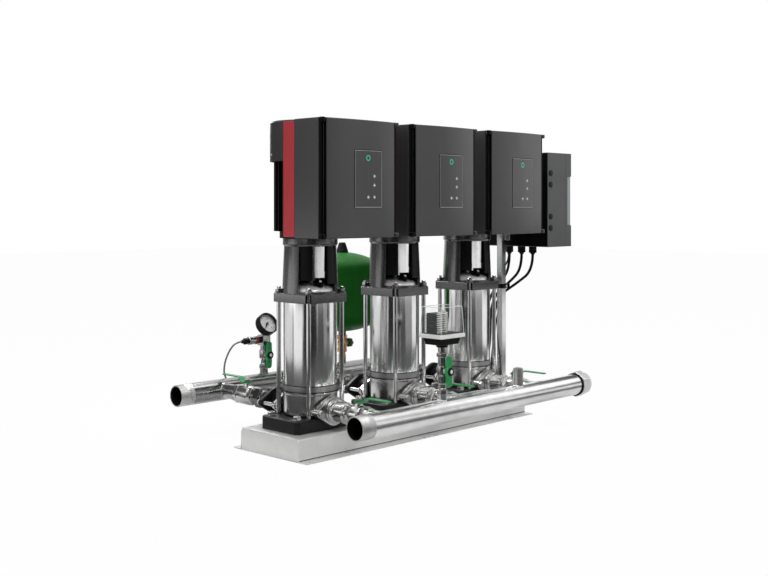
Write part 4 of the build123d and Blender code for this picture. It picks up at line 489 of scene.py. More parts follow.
def arc(profile: Profile, first: float, sweep: float, steps: int = 32) -> bmesh.types.BMesh:
    """Part of a turned ring with closed ends.

    Args:
        profile: Radius and height of each corner of its section.
        first: Where it starts about Z, in degrees.
        sweep: How far it reaches, in degrees.
        steps: Faces along it.

    Returns:
        The shape.
    """
    mesh = turned(profile, 0.0, steps, True, radians(sweep))
    rims = [edge for edge in mesh.edges if edge.is_boundary]
    bmesh.ops.holes_fill(mesh, edges=rims, sides=0)
    bmesh.ops.recalc_face_normals(mesh, faces=mesh.faces)
    bmesh.ops.rotate(mesh, verts=mesh.verts, cent=(0, 0, 0),
                     matrix=Matrix.Rotation(radians(first), 3, "Z"))
    return mesh


def band(first: float, second: float, low: float, high: float) -> Profile:
    """Section of a plain ring between two radii and two levels."""
    return [(first, low), (second, low), (second, high), (first, high)]


def rod(radius: float, length: float, soften: float = 0.0, steps: int = 48) -> bmesh.types.BMesh:
    """Round bar from the origin along Z."""
    return turned(band(0, radius, 0, length), soften, steps)


def tube(outer: float, inner: float, length: float, soften: float = 0.0,
         steps: int = 96) -> bmesh.types.BMesh:
    """Round tube from the origin along Z."""
    return turned(band(inner, outer, 0, length), soften, steps, True)


def prism(sides: int, flats: float, length: float, soften: float = 0.6) -> bmesh.types.BMesh:
    """Bar with equal flats from the origin along Z."""
    mesh = bmesh.new()
    radius = flats / 2 / cos(pi / sides)
    made = bmesh.ops.create_cone(mesh, cap_ends=True, cap_tris=False, segments=sides,
                                 radius1=radius, radius2=radius, depth=length)
    bmesh.ops.translate(mesh, verts=made["verts"], vec=(0, 0, length / 2))
    return settle(mesh, soften)


def box(low: Point, high: Point, soften: float = 0.5, segments: int = 2) -> bmesh.types.BMesh:
    """Box between two corners."""
    mesh = bmesh.new()
    bmesh.ops.create_cube(mesh, size=1.0)
    size = Vector(high) - Vector(low)
    middle = (Vector(high) + Vector(low)) / 2
    bmesh.ops.scale(mesh, verts=mesh.verts, vec=size)
    bmesh.ops.translate(mesh, verts=mesh.verts, vec=middle)
    return settle(mesh, soften, segments=segments)


def hulled(circles: Iterable[tuple[float, float, float]], thickness: float,
           soften: float) -> bmesh.types.BMesh:
    """Plate whose outline wraps several circles.

    Args:
        circles: X, Y and radius of each.
        thickness: Height of the plate.
        soften: Width of its roundings.

    Returns:
        The plate, standing on the XY plane.
    """
    mesh = bmesh.new()
    for x, y, radius in circles:
        for height in (0.0, thickness):
            bmesh.ops.create_circle(mesh, cap_ends=False, segments=48, radius=radius,
                                    matrix=Matrix.Translation((x, y, height)))
    bmesh.ops.delete(mesh, geom=mesh.edges[:], context="EDGES_FACES")
    bmesh.ops.convex_hull(mesh, input=mesh.verts[:])
    loose = [vert for vert in mesh.verts if not vert.link_faces]
    bmesh.ops.delete(mesh, geom=loose, context="VERTS")
    bmesh.ops.dissolve_limit(mesh, angle_limit=radians(1), verts=mesh.verts[:], edges=mesh.edges[:])
    return settle(mesh, soften)


def bead(neck_r: float, pipe_r: float, size: float) -> bmesh.types.BMesh:
    """Weld bead where a neck along Z leaves a pipe along X."""
    ring = [(neck_r + size * cos(pi * i / 5), size * sin(pi * i / 5)) for i in range(10)]
    mesh = turned(ring, 0, 72, True)
    for vert in mesh.verts:
        vert.co.z += sqrt(max(pipe_r**2 - vert.co.y**2, 0))
    return mesh


def coil(radius: float, wire: float, pitch: float, turns: int) -> bmesh.types.BMesh:
    """Coil spring of round wire along Z."""
    mesh = bmesh.new()
    place = Matrix.Translation((radius, 0, 0)) @ Matrix.Rotation(pi / 2, 4, "X")
    bmesh.ops.create_circle(mesh, cap_ends=False, segments=8, radius=wire, matrix=place)
    steps = 20 * turns
    bmesh.ops.spin(mesh, geom=mesh.verts[:] + mesh.edges[:], cent=(0, 0, 0), axis=(0, 0, 1),
                   dvec=(0, 0, pitch * turns / steps), angle=FULL_TURN * turns, steps=steps,
                   use_merge=False, use_duplicate=False)
    bmesh.ops.holes_fill(mesh, edges=mesh.edges[:], sides=8)
    return settle(mesh)


def ribbon(stations: Sequence[tuple[float, float, float]], thickness: float,
           soften: float) -> bmesh.types.BMesh:
    """Flat bent strip across X.

    Args:
        stations: Distance along Y, height and width at each bend.
        thickness: Thickness of the strip.
        soften: Width of its roundings.

    Returns:
        The strip.
    """
    mesh = bmesh.new()
    rails = [[mesh.verts.new((side * width / 2, y, z)) for y, z, width in stations]
             for side in (-1, 1)]
    for left, right in zip(zip(rails[0], rails[0][1:]), zip(rails[1], rails[1][1:])):
        mesh.faces.new((left[0], left[1], right[1], right[0]))
    bmesh.ops.recalc_face_normals(mesh, faces=mesh.faces)
    bmesh.ops.solidify(mesh, geom=mesh.faces[:], thickness=thickness)
    return settle(mesh, soften, 40)


def at(origin: Union[Point, Vector], direction: Union[Point, Vector] = (0, 0, 1),
       roll: float = 0.0) -> Matrix:
    """Place a shape's Z axis along a direction, rolled about it in degrees."""
    turn = Vector((0, 0, 1)).rotation_difference(Vector(direction)).to_matrix().to_4x4()
    return Matrix.Translation(origin) @ turn @ Matrix.Rotation(radians(roll), 4, "Z")


def each_pump(place: Matrix = Matrix.Identity(4)) -> list[Matrix]:
    """The same place on every pump, or the pumps' own places."""
    return [Matrix.Translation((x, 0, 0)) @ place for x in PUMP_X]


def linked(name: str, data: bpy.types.ID) -> bpy.types.Object:
    """Put data into the scene as an object."""
    made = bpy.data.objects.new(name, data)
    bpy.context.scene.collection.objects.link(made)
    return made


class Form:
    """Several shapes in one mesh, in millimetres in the row frame."""

    def __init__(self) -> None:
        """Start with nothing."""
        self.mesh = bmesh.new()

    def add(self, shape: bmesh.types.BMesh, *places: Matrix) -> "Form":
        """Add copies of a shape.

        Args:
            shape: The shape, which is used up.
            places: Where each copy stands, or nothing for one copy where it is.

        Returns:
            This form.
        """
        data = bpy.data.meshes.new("shape")
        shape.to_mesh(data)
        shape.free()
        for place in places or (Matrix.Identity(4),):
            copy = data.copy()
            copy.transform(place)
            self.mesh.from_mesh(copy)
            bpy.data.meshes.remove(copy)
        bpy.data.meshes.remove(data)
        return self

    def piece(self, name: str, finish: Finish, body: str = "frame", stands_for: Iterable[str] = (),
              smooth: float = 42.0) -> bpy.types.Object:
        """Finish the form as a named piece.

        Args:
            name: The piece's name.
            finish: Its finish.
            body: The body that it rides on.
            stands_for: CAD nodes that it replaces.
            smooth: Edges sharper than this angle in degrees stay crisp.

        Returns:
            The object.
        """
        data = bpy.data.meshes.new(name)
        self.mesh.to_mesh(data)
        self.mesh.free()
        data.transform(Matrix.Scale(MILLIMETRE, 4))
        data.shade_smooth()
        data.set_sharp_from_angle(angle=radians(smooth))
        data.materials.append(finish.material())
        made = linked(name, data)
        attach(made, body)
        if stands_for:
            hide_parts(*stands_for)
        weighted = made.modifiers.new("Even normals", "WEIGHTED_NORMAL")
        weighted.keep_sharp = True
        LOG.info("%s: %d faces", name, len(data.polygons))
        return made


def refined(node: str, finish: Finish, soften: float = 0.8, body: str = "frame",
            limit: float = 34.0, segments: int = 2) -> bpy.types.Object:
    """Stand for a CAD node with a copy whose sharp edges are rounded.

    Args:
        node: The node.
        finish: Its finish.
        soften: Width of its roundings.
        body: The body that it rides on.
        limit: Edges sharper than this angle in degrees are rounded.
        segments: Faces across a rounding.

    Returns:
        The copy.
    """
    form = Form()
    form.mesh.from_mesh(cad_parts[node].data)
    bmesh.ops.scale(form.mesh, verts=form.mesh.verts, vec=[1 / MILLIMETRE] * 3)
    bmesh.ops.remove_doubles(form.mesh, verts=form.mesh.verts, dist=2e-3)
    bmesh.ops.dissolve_limit(form.mesh, angle_limit=radians(0.8), verts=form.mesh.verts[:],
                             edges=form.mesh.edges[:])
    if soften:
        round_edges(form.mesh, soften, limit, segments, False)
    return form.piece(f"{node}_refined", finish, body, [node])


def dressed(node: str, finish: Finish) -> None:
    """Keep a CAD node's own shape and give it a finish."""
    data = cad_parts[node].data
    data.materials.clear()
    data.materials.append(finish.material())
    LOG.info("%s: own shape, %s", node, finish.name)


@dataclass
class Studio:
    """Camera, soft lights, floor, and the pale and dark cards that bright metal mirrors."""

    eye: Point = (-2.238, -2.120, 0.626)
    heading: float = -46.0
    focal_px: float = 1091.0
    frame_px: tuple[int, int] = (768, 576)
    horizon_px: float = 208.0
    ring_radius: float = 1.5

    def camera(self) -> None:
        """Set the photograph's camera."""
        data = bpy.data.cameras.new("camera")
        data.sensor_width = 36.0
        data.lens = self.focal_px / self.frame_px[0] * data.sensor_width
        data.shift_y = (self.horizon_px - self.frame_px[1] / 2) / self.frame_px[0]
        data.clip_end = 60.0
        made = linked("camera", data)
        made.location = self.eye
        made.rotation_euler = (radians(90), 0.0, radians(self.heading))
        bpy.context.scene.camera = made

    def light(self, name: str, place: Point, aim: Point, size: tuple[float, float],
              power: float) -> None:
        """Add one soft light aimed at a point."""
        data = bpy.data.lights.new(name, "AREA")
        data.shape = "RECTANGLE"
        data.size, data.size_y = size
        data.energy = power
        made = linked(name, data)
        made.location = place
        made.rotation_euler = (Vector(aim) - Vector(place)).to_track_quat("-Z", "Y").to_euler()

    def ground(self) -> None:
        """Lay the pale floor."""
        recipe = Recipe("pale_floor")
        dust = recipe.noise(3, 3, recipe.place())
        body = recipe.node("ShaderNodeBsdfDiffuse", None, {
            "Color": recipe.blend(dust, (0.78, 0.78, 0.78, 1), (0.76, 0.76, 0.76, 1))})
        glow = recipe.node("ShaderNodeEmission", None, {"Color": (1, 1, 1, 1), "Strength": 1.0})
        path = recipe.node("ShaderNodeLightPath")
        seen = Value(recipe, path.outputs["Is Camera Ray"])
        recipe.close("ShaderNodeMixShader",
                     {0: seen * 0.97, 1: body.outputs[0], 2: glow.outputs[0]})
        self.sheet("floor", Matrix.Translation((0, 0, -0.0005)), (24.0, 24.0), recipe.material)

    def sheet(self, name: str, place: Matrix, size: tuple[float, float],
              material: bpy.types.Material) -> bpy.types.Object:
        """Stand a flat card or floor in the studio."""
        mesh = bmesh.new()
        bmesh.ops.create_grid(mesh, x_segments=1, y_segments=1, size=0.5)
        bmesh.ops.scale(mesh, verts=mesh.verts, vec=(*size, 1))
        bmesh.ops.transform(mesh, matrix=place, verts=mesh.verts)
        data = bpy.data.meshes.new(name)
        mesh.to_mesh(data)
        mesh.free()
        data.materials.append(material)
        made = linked(name, data)
        return made

    def mirrored(self, name: str, place: Matrix, size: tuple[float, float], shade: float) -> None:
        """Stand a card that only the rays of bright metal meet, as pale as its shade."""
        recipe = Recipe(f"card_{name}")
        mottle = recipe.noise(2, 2, recipe.place())
        darker = shade * 0.8
        recipe.close("ShaderNodeEmission", {"Color": recipe.blend(
            mottle, (shade, shade, shade, 1), (darker, darker, darker, 1))})
        made = self.sheet(f"card_{name}", place, size, recipe.material)
        made.visible_camera = made.visible_diffuse = made.visible_shadow = False
        made.visible_transmission = made.visible_volume_scatter = False

    def card(self, name: str, low: float, high: float, shade: float,
             height: tuple[float, float]) -> None:
        """Stand one card of a ring about the pumps.

        Args:
            name: The card's name.
            low: Its first edge, in degrees from the camera's direction towards the picture's right.
            high: Its second edge.
            shade: How pale it is.
            height: Its lowest and highest level.
        """
        middle = radians((low + high) / 2)
        heading = radians(90 + self.heading)
        forward = Vector((cos(heading), sin(heading), 0))
        right = Vector((sin(heading), -cos(heading), 0))
        centre = (right * sin(middle) - forward * cos(middle)) * self.ring_radius
        centre.z = sum(height) / 2
        facing = Vector((-centre.x, -centre.y, 0)).to_track_quat("Z", "Y").to_matrix().to_4x4()
        width = 2 * self.ring_radius * sin(radians(high - low) / 2)
        self.mirrored(name, Matrix.Translation(centre) @ facing, (width, height[1] - height[0]),
                      shade)

    def world(self) -> None:
        """Light the room softly and show it white behind the pumps."""
        world = bpy.data.worlds.new("studio")
        bpy.context.scene.world = world
        world.use_nodes = True
        tree = world.node_tree
        tree.nodes.clear()
        path = tree.nodes.new("ShaderNodeLightPath")
        total = path.outputs["Is Camera Ray"]
        for name in ("Is Glossy Ray", "Is Transmission Ray"):
            add = tree.nodes.new("ShaderNodeMath")
            add.operation = "MAXIMUM"
            tree.links.new(total, add.inputs[0])
            tree.links.new(path.outputs[name], add.inputs[1])
            total = add.outputs[0]
        soft, white = (tree.nodes.new("ShaderNodeBackground") for _ in range(2))
        soft.inputs["Strength"].default_value = 0.5
        soft.inputs["Color"].default_value = white.inputs["Color"].default_value = (1, 1, 1, 1)
        white.inputs["Strength"].default_value = 1.0
        mix = tree.nodes.new("ShaderNodeMixShader")
        out = tree.nodes.new("ShaderNodeOutputWorld")
        tree.links.new(total, mix.inputs[0])
        tree.links.new(soft.outputs[0], mix.inputs[1])
        tree.links.new(white.outputs[0], mix.inputs[2])
        tree.links.new(mix.outputs[0], out.inputs[0])

    def build(self) -> None:
        """Set the studio up."""
        self.camera()
        self.world()
        self.ground()
        self.light("key", (-1.6, -3.2, 2.9), (0, 0, 0.4), (1.8, 1.2), 42)
        self.light("top", (0.2, -0.6, 3.2), (0, 0, 0.2), (3.4, 0.9), 34)
        self.light("fill", (-3.4, 0.4, 1.6), (0, 0, 0.4), (1.2, 1.6), 9)
        self.light("tank_top", (0.04, 0.80, 1.05), (0.16, 0.38, 0.47), (0.35, 0.35), 8)
        for tier, height, row in (
                ("low", (0.055, 0.284), (
                    (-150, -124, 0.04), (-123, -67, 0.80), (-66, -31, 1.0), (-30, 22, 0.02),
                    (23, 50, 0.07), (51, 84, 0.30), (85, 116, 1.0), (117, 150, 0.03))),
                ("window", (0.286, 0.508), (
                    (-150, -90, 0.35), (-89, -57, 2.0), (-56, 24, 0.02), (25, 88, 1.0),
                    (89, 150, 0.03))),
                ("high", (0.51, 1.25), (
                    (-150, -67, 0.14), (-66, -29, 0.5), (-28, 76, 0.02), (77, 86, 0.30),
                    (87, 96, 0.75), (97, 120, 1.5), (121, 150, 0.03)))):
            for number, (low, high, shade) in enumerate(row):
                self.card(f"{tier}_{number}", low, high, shade, height)
        for name, place, size in (("front", (0.0, -1.90, 0.002), (6.0, 2.8)),
                                  ("side", (-1.95, 0.75, 0.002), (2.7, 2.5))):
            self.mirrored(name, Matrix.Translation(place), size, 0.10)
        bpy.context.scene.view_settings.view_transform = "Standard"


@dataclass
class BaseAndFeet:
    """Base frame, pump feet and their bolts."""

    foot_top: float = 90.0
    bolt_x: float = 90.0
    bolt_y: float = 50.0
    bolt_end: float = 40.0
    port_bolt_x: float = 50.0
    port_nut: float = 74.0
    port_bolt_end: float = 64.0
    half_length: float = 459.0
    half_width: float = 113.0

    def bolts(self) -> None:
        """Foot bolts and the bolts of both port flanges."""
        form = Form()
        spots = [(x + dx, dy) for x in PUMP_X for dx in (-self.bolt_x, self.bolt_x)
                 for dy in (-self.bolt_y, self.bolt_y)]
        for shape, level, roll in ((rod(12, 2, 0.4, 40), self.foot_top, 0),
                                   (prism(6, 19, 8, 1.0), self.foot_top + 2, 17),
                                   (rod(6, 50, 0.6, 24), self.bolt_end, 0),
                                   (prism(6, 19, 10, 1.0), self.bolt_end + 4, 0)):
            form.add(shape, *[at((x, y, level), roll=roll) for x, y in spots])
        ports = [x + dx for x in PUMP_X for dx in (-self.port_bolt_x, self.port_bolt_x)]
        for way, far in ((-1, PORT_FACE + 10), (1, COMPANION_END)):
            end = self.port_bolt_end
            for shape, start, face, roll in ((prism(6, 16, 7, 0.9), far, way, 12),
                                             (prism(6, 16, 7, 0.9), self.port_nut, -way, 4),
                                             (rod(5, far - end, 0.6, 24), end, way, 0)):
                form.add(shape, *[at((x, way * start, PORT_Z), (0, face, 0), roll) for x in ports])
        form.piece("bolt_set", ZINC, stands_for=["flange_and_foot_bolts"])

    def build(self) -> None:
        """Dress the base."""
        refined("base_frame", GALVANISED, 1.4)
        # Thin black strips along the fold at the foot of each long wall: painted shade where the
        # wall meets the lip.
        painted_fold_shade = Form()
        for way in (-1, 1):
            y = way * self.half_width
            painted_fold_shade.add(box((-self.half_length, y - 0.4, 3), (self.half_length, y + 0.4, 5.2), 0))
        painted_fold_shade.piece("frame_painted_fold_shade", RUBBER)
        refined("pump_feet", CASTING, 1.4)
        self.bolts()


@dataclass
class Hydraulics:
    """Casing, sleeve, tie rods and head of each pump."""

    casing_top: float = 153.0
    head_bottom: float = 382.0
    head_top: float = 405.0
    rod_offset: float = 58.0
    neck_top: float = 528.0

    def casings(self) -> None:
        """Polished lower casings with their necks and flanges."""
        form = Form()
        cup = [(0, 90), (64, 90), (69.5, 92), (71, 97), (71, 145.5), (72.5, 147.5), (72.5, 153),
               (67, 153), (67, 98), (0, 98)]
        form.add(turned(cup, 0.8, 128), *each_pump())
        for side in (-1, 1):
            neck = at((0, side * 64, PORT_Z), (0, side, 0))
            form.add(tube(NECK_R, BORE_R, 20, 0.5, 72), *each_pump(neck))
            flange = at((0, side * 74, PORT_Z), (0, side, 0))
            form.add(hulled(FLANGE, 10, 1.6), *each_pump(flange))
        form.add(tube(44, 40, 55, 0.3, 96), *each_pump(at((0, 0, 98))))
        form.piece("casing_shells", FITTING, stands_for=["pump_casings"])

    def sleeves(self) -> None:
        """Bright sleeves with rolled bands above the lower edge."""
        top, low = self.head_bottom, self.casing_top
        sleeve = turned(band(68, 70, low + 15, top), 0.35, 160, True)
        Form().add(sleeve, *each_pump()).piece("sleeve_shells", SLEEVE,
                                               stands_for=["outer_sleeves"])
        rolled = turned([(68, low), (70, low), (70.4, low + 1), (70.4, low + 14.6),
                         (70, low + 15.4), (68, low + 15.4)], 0, 128, True)
        Form().add(rolled, *each_pump()).piece("sleeve_bands", BAND)
        seals = Form()
        for ring in (band(69.4, 73, low - 0.9, low + 1.2), band(69.4, 70.8, low + 15, low + 17)):
            seals.add(turned(ring, 0, 128, True), *each_pump())
        seals.piece("sleeve_seals", RUBBER)

    def rods(self) -> None:
        """Tie rods with rolled thread ends, washers and nuts."""
        form = Form()
        corners = [(x + dx, dy) for x in PUMP_X for dx in (-self.rod_offset, self.rod_offset)
                   for dy in (-self.rod_offset, self.rod_offset)]
        top = self.head_top
        thread = [(6 - 0.55 * (i % 2), top + 2 + i * 0.9) for i in range(16)]
        body = turned([(0, 75), (6, 75), *thread, (5, top + 17), (0, top + 17)], 0, 36)
        form.add(body, *[at((x, y, 0)) for x, y in corners])
        form.piece("staybolts", ROD, stands_for=["tie_rods"])
        nuts = Form().add(tube(11, 6, 2, 0.4, 40), *[at((x, y, top)) for x, y in corners])
        nuts.add(prism(6, 18, 9, 1.1), *[at((x, y, top + 2), roll=10) for x, y in corners])
        # The nuts' darker tint is painted shade.
        nuts.piece("staybolt_nuts", NUT)

    def domes(self) -> None:
        """Bright domed covers on the heads, their vent plugs, and a white hexagon on each cap as a
        painted highlight.
        """
        top = self.head_top
        dome = [(8.1, top), (61.5, top), (61.5, top + 5), (61, top + 8.5), (59, top + 12.5),
                (54.5, top + 16.5), (47, top + 19.5), (38, top + 21.5), (29, top + 22.5),
                (22, top + 24.4), (19, top + 25), (8.1, top + 25)]
        Form().add(turned(dome, 0.5, 128, True), *each_pump()).piece(
            "head_domes", DOME, stands_for=["head_covers"])
        lean = Vector((-0.16, -0.62, 0.77)).normalized()
        start = Vector((-11, -41, top + 15))
        boss = [(0, -8), (17, -8), (15.4, 0), (13, 4), (11.6, 9), (10.8, 10), (0, 10)]
        cap = [(0, 0), (9.4, 0), (9.4, 9), (7.6, 12), (3.4, 13), (0, 13)]
        for name, shape, along, finish, nodes in (
                ("vent_bosses", turned(boss, 0.7, 48), 0.0, PLUG, ["vent_plugs"]),
                ("vent_caps", turned(cap, 0.5, 48), 9.8, GROOVE, []),
                # White hexagon on top of each black cap: a painted highlight.
                ("vent_cap_highlights", prism(6, 7, 2.2, 0.4), 21.5, WHITE, [])):
            Form().add(shape, *each_pump(at(start + lean * along, lean))).piece(
                name, finish, stands_for=nodes)

    def webs(self) -> None:
        """Webs that narrow the stool's windows, black fillers and walls inside the windows as
        painted shade, and the guards' skirts.
        """
        webs, dark = Form(), Form()
        top = self.neck_top
        wall = band(62.6, 63.4, 440, top)
        for turn in (0, 180):
            webs.add(arc([(66, 409), (73.2, 409), (68.6, top), (66, top)], 118 + turn, 41),
                     *each_pump())
            # Black fillers beside the webs and black walls inside the stool: painted shade in the
            # windows.
            dark.add(arc([(66, 431), (72.3, 431), (68.6, top), (66, top)], 88 + turn, 30.5, 24),
                     *each_pump())
            dark.add(arc(wall, 23 + turn, 9, 8), *each_pump())
        dark.add(arc(wall, 203, 30), *each_pump())
        dark.add(arc(band(62.5, 64, 411, 443), 20, 140), *each_pump())
        webs.piece("stool_webs", HEAD_PAINT)
        dark.piece("stool_painted_shade_walls", MOTOR)
        skirt = arc(band(61.6, 62.6, 447, 463), 234, 30)
        Form().add(skirt, *each_pump()).piece("guard_skirts", GUARD)

    def build(self) -> None:
        """Dress the hydraulics."""
        self.casings()
        self.sleeves()
        self.rods()
        self.domes()
        self.webs()
        refined("motor_stools", HEAD_PAINT, 1.2)
        refined("coupling_guards", GUARD, 0.0)
        dressed("chamber_stacks", STACK)
        for number in (1, 2, 3):
            dressed(f"pump_rotor_{number}", STEEL)


@dataclass
class MotorsAndDrives:
    """Motors, fan covers and speed drives with their panels."""

    drive_front: float = -197.0
    groove_floor: float = -180.0
    bow: float = 1023.5
    panel_left: float = -30.0
    panel_right: float = 68.0
    panel_low: float = 627.0
    panel_high: float = 770.0
    drive_low: float = 551.0
    drive_high: float = 846.0
    groove_middle: float = 129.5
    fan_cover_r: float = 104.6
    fan_screw_z: float = 762.0

    def bowed(self, shape: bmesh.types.BMesh, proud: float) -> bmesh.types.BMesh:
        """Wrap a flat shape in the XZ plane onto the drive's bowed front."""
        bmesh.ops.translate(shape, verts=shape.verts, vec=(0, self.drive_front - proud, 0))
        for vert in shape.verts:
            vert.co.y += vert.co.x**2 / (2 * self.bow)
        return shape

    def strip(self, low: tuple[float, float], high: tuple[float, float]) -> bmesh.types.BMesh:
        """Thin printed strip between two corners of the panel."""
        mesh = bmesh.new()
        bmesh.ops.create_cube(mesh, size=1.0)
        bmesh.ops.scale(mesh, verts=mesh.verts, vec=(high[0] - low[0], 0.2, high[1] - low[1]))
        bmesh.ops.translate(mesh, verts=mesh.verts,
                            vec=((low[0] + high[0]) / 2, -0.1, (low[1] + high[1]) / 2))
        if high[0] - low[0] > 10:
            across = [edge for edge in mesh.edges
                      if abs(edge.verts[0].co.x - edge.verts[1].co.x) > 5]
            bmesh.ops.subdivide_edges(mesh, edges=across, cuts=12, use_grid_fill=True)
        return self.bowed(mesh, 0.2)

    def mark(self, x: float, z: float, outer: float, inner: float) -> bmesh.types.BMesh:
        """Thin printed ring or dot on the panel."""
        if inner:
            mesh = tube(outer, inner, 0.25, 0, 40)
        else:
            mesh = rod(outer, 0.25, 0, 24)
        bmesh.ops.transform(mesh, matrix=at((x, 0, z), (0, -1, 0)), verts=mesh.verts)
        return self.bowed(mesh, 0.2)

    def panels(self) -> None:
        """Operating panels: outline, ring of light, light bar and keys."""
        left, right, low, high = self.panel_left, self.panel_right, self.panel_low, self.panel_high
        edge = 1.5
        line, light, keys, bar = Form(), Form(), Form(), Form()
        for corners in (((left, low), (left + edge, high)), ((right - edge, low), (right, high)),
                        ((left, low), (right, low + edge)), ((left, high - edge), (right, high))):
            line.add(self.strip(*corners), *each_pump())
        light.add(self.mark(17, 751, 7.4, 4.8), *each_pump())
        for x, z in ((39.5, 706), (39.5, 683), (17, 653), (39.5, 653)):
            for half_x, half_z in ((4.2, 1.4), (1.4, 4.2)):
                keys.add(self.strip((x - half_x, z - half_z), (x + half_x, z + half_z)),
                         *each_pump())
        for level in range(10):
            z = 680 + level * 4.6
            bar.add(self.strip((16.2, z), (17.8, z + 2.2)), *each_pump())
        line.piece("panel_outlines", PANEL_LINE)
        light.piece("panel_rings", GREEN_LIGHT)
        keys.piece("panel_keys", PANEL_MARK)
        bar.piece("panel_bars", DIM_LIGHT)
        dressed("drive_panels", PANEL)

    def corners(self) -> None:
        """Black liners and screws in the corner grooves of the drives."""
        form = Form()
        low, high, floor = self.drive_low, self.drive_high, self.groove_floor
        for side, reach, inset in ((-1, 7.2, 6.0), (1, 4.4, 2.2)):
            for walls, depth in (((136.2, 119.6), 0.5), ((119.5, 120.0), 9.6)):
                near, far = sorted(side * wall for wall in walls)
                form.add(box((near, floor - depth, low + 0.4), (far, floor, high - 0.4), 0.15),
                         *each_pump())
            for start in (low - 0.2, high - 11.2):
                screw = turned([(0, 0), (reach - 0.6, 0), (reach, 0.8), (reach, 10.6),
                                (reach - 0.6, 11.4), (0, 11.4)], 0.3, 40)
                x = side * (self.groove_middle - 6 + inset)
                form.add(screw, *each_pump(at((x, floor - inset, start))))
        form.piece("drive_corners", GROOVE)

    def small_parts(self) -> None:
        """Screws of the fan covers and the motors' eyes and flange bolts."""
        screws = Form()
        for turn in (196, 24, 84, 156):
            out = Vector((cos(radians(turn)), sin(radians(turn)), 0))
            head = turned([(0, 0), (3.6, 0), (3.4, 1.8), (1.2, 2.4), (0, 2.4)], 0.2, 24)
            place = at(out * self.fan_cover_r + Vector((0, 0, self.fan_screw_z)), out)
            screws.add(head, *each_pump(place))
        screws.piece("fan_cover_screws", ZINC)
        circle = [(5 + 1.6 * cos(pi * i / 5), 1.6 * sin(pi * i / 5)) for i in range(10)]
        eye = Form().add(turned(circle, 0, 32, True),
                         *each_pump(at((-95, -45.5, 693), (-0.8, 0.6, 0))))
        eye.piece("motor_eyes", ZINC)
        bolts = Form()
        for x, y in ((-66, 40), (66, 40), (-66, -30), (66, -30)):
            bolts.add(prism(6, 13, 7, 0.8), *each_pump(at((x, y, 566), roll=15)))
        bolts.piece("motor_flange_bolts", ZINC)

    def build(self) -> None:
        """Dress the motors and drives."""
        refined("motor_housings", MOTOR, 0.6)
        refined("fan_covers", FAN_COVER, 0.5)
        refined("drive_bases", DRIVE_RED, 0.5)
        refined("drive_covers", DRIVE, 2.2, segments=3)
        dressed("drive_boards", BOARD)
        self.panels()
        self.corners()
        self.small_parts()


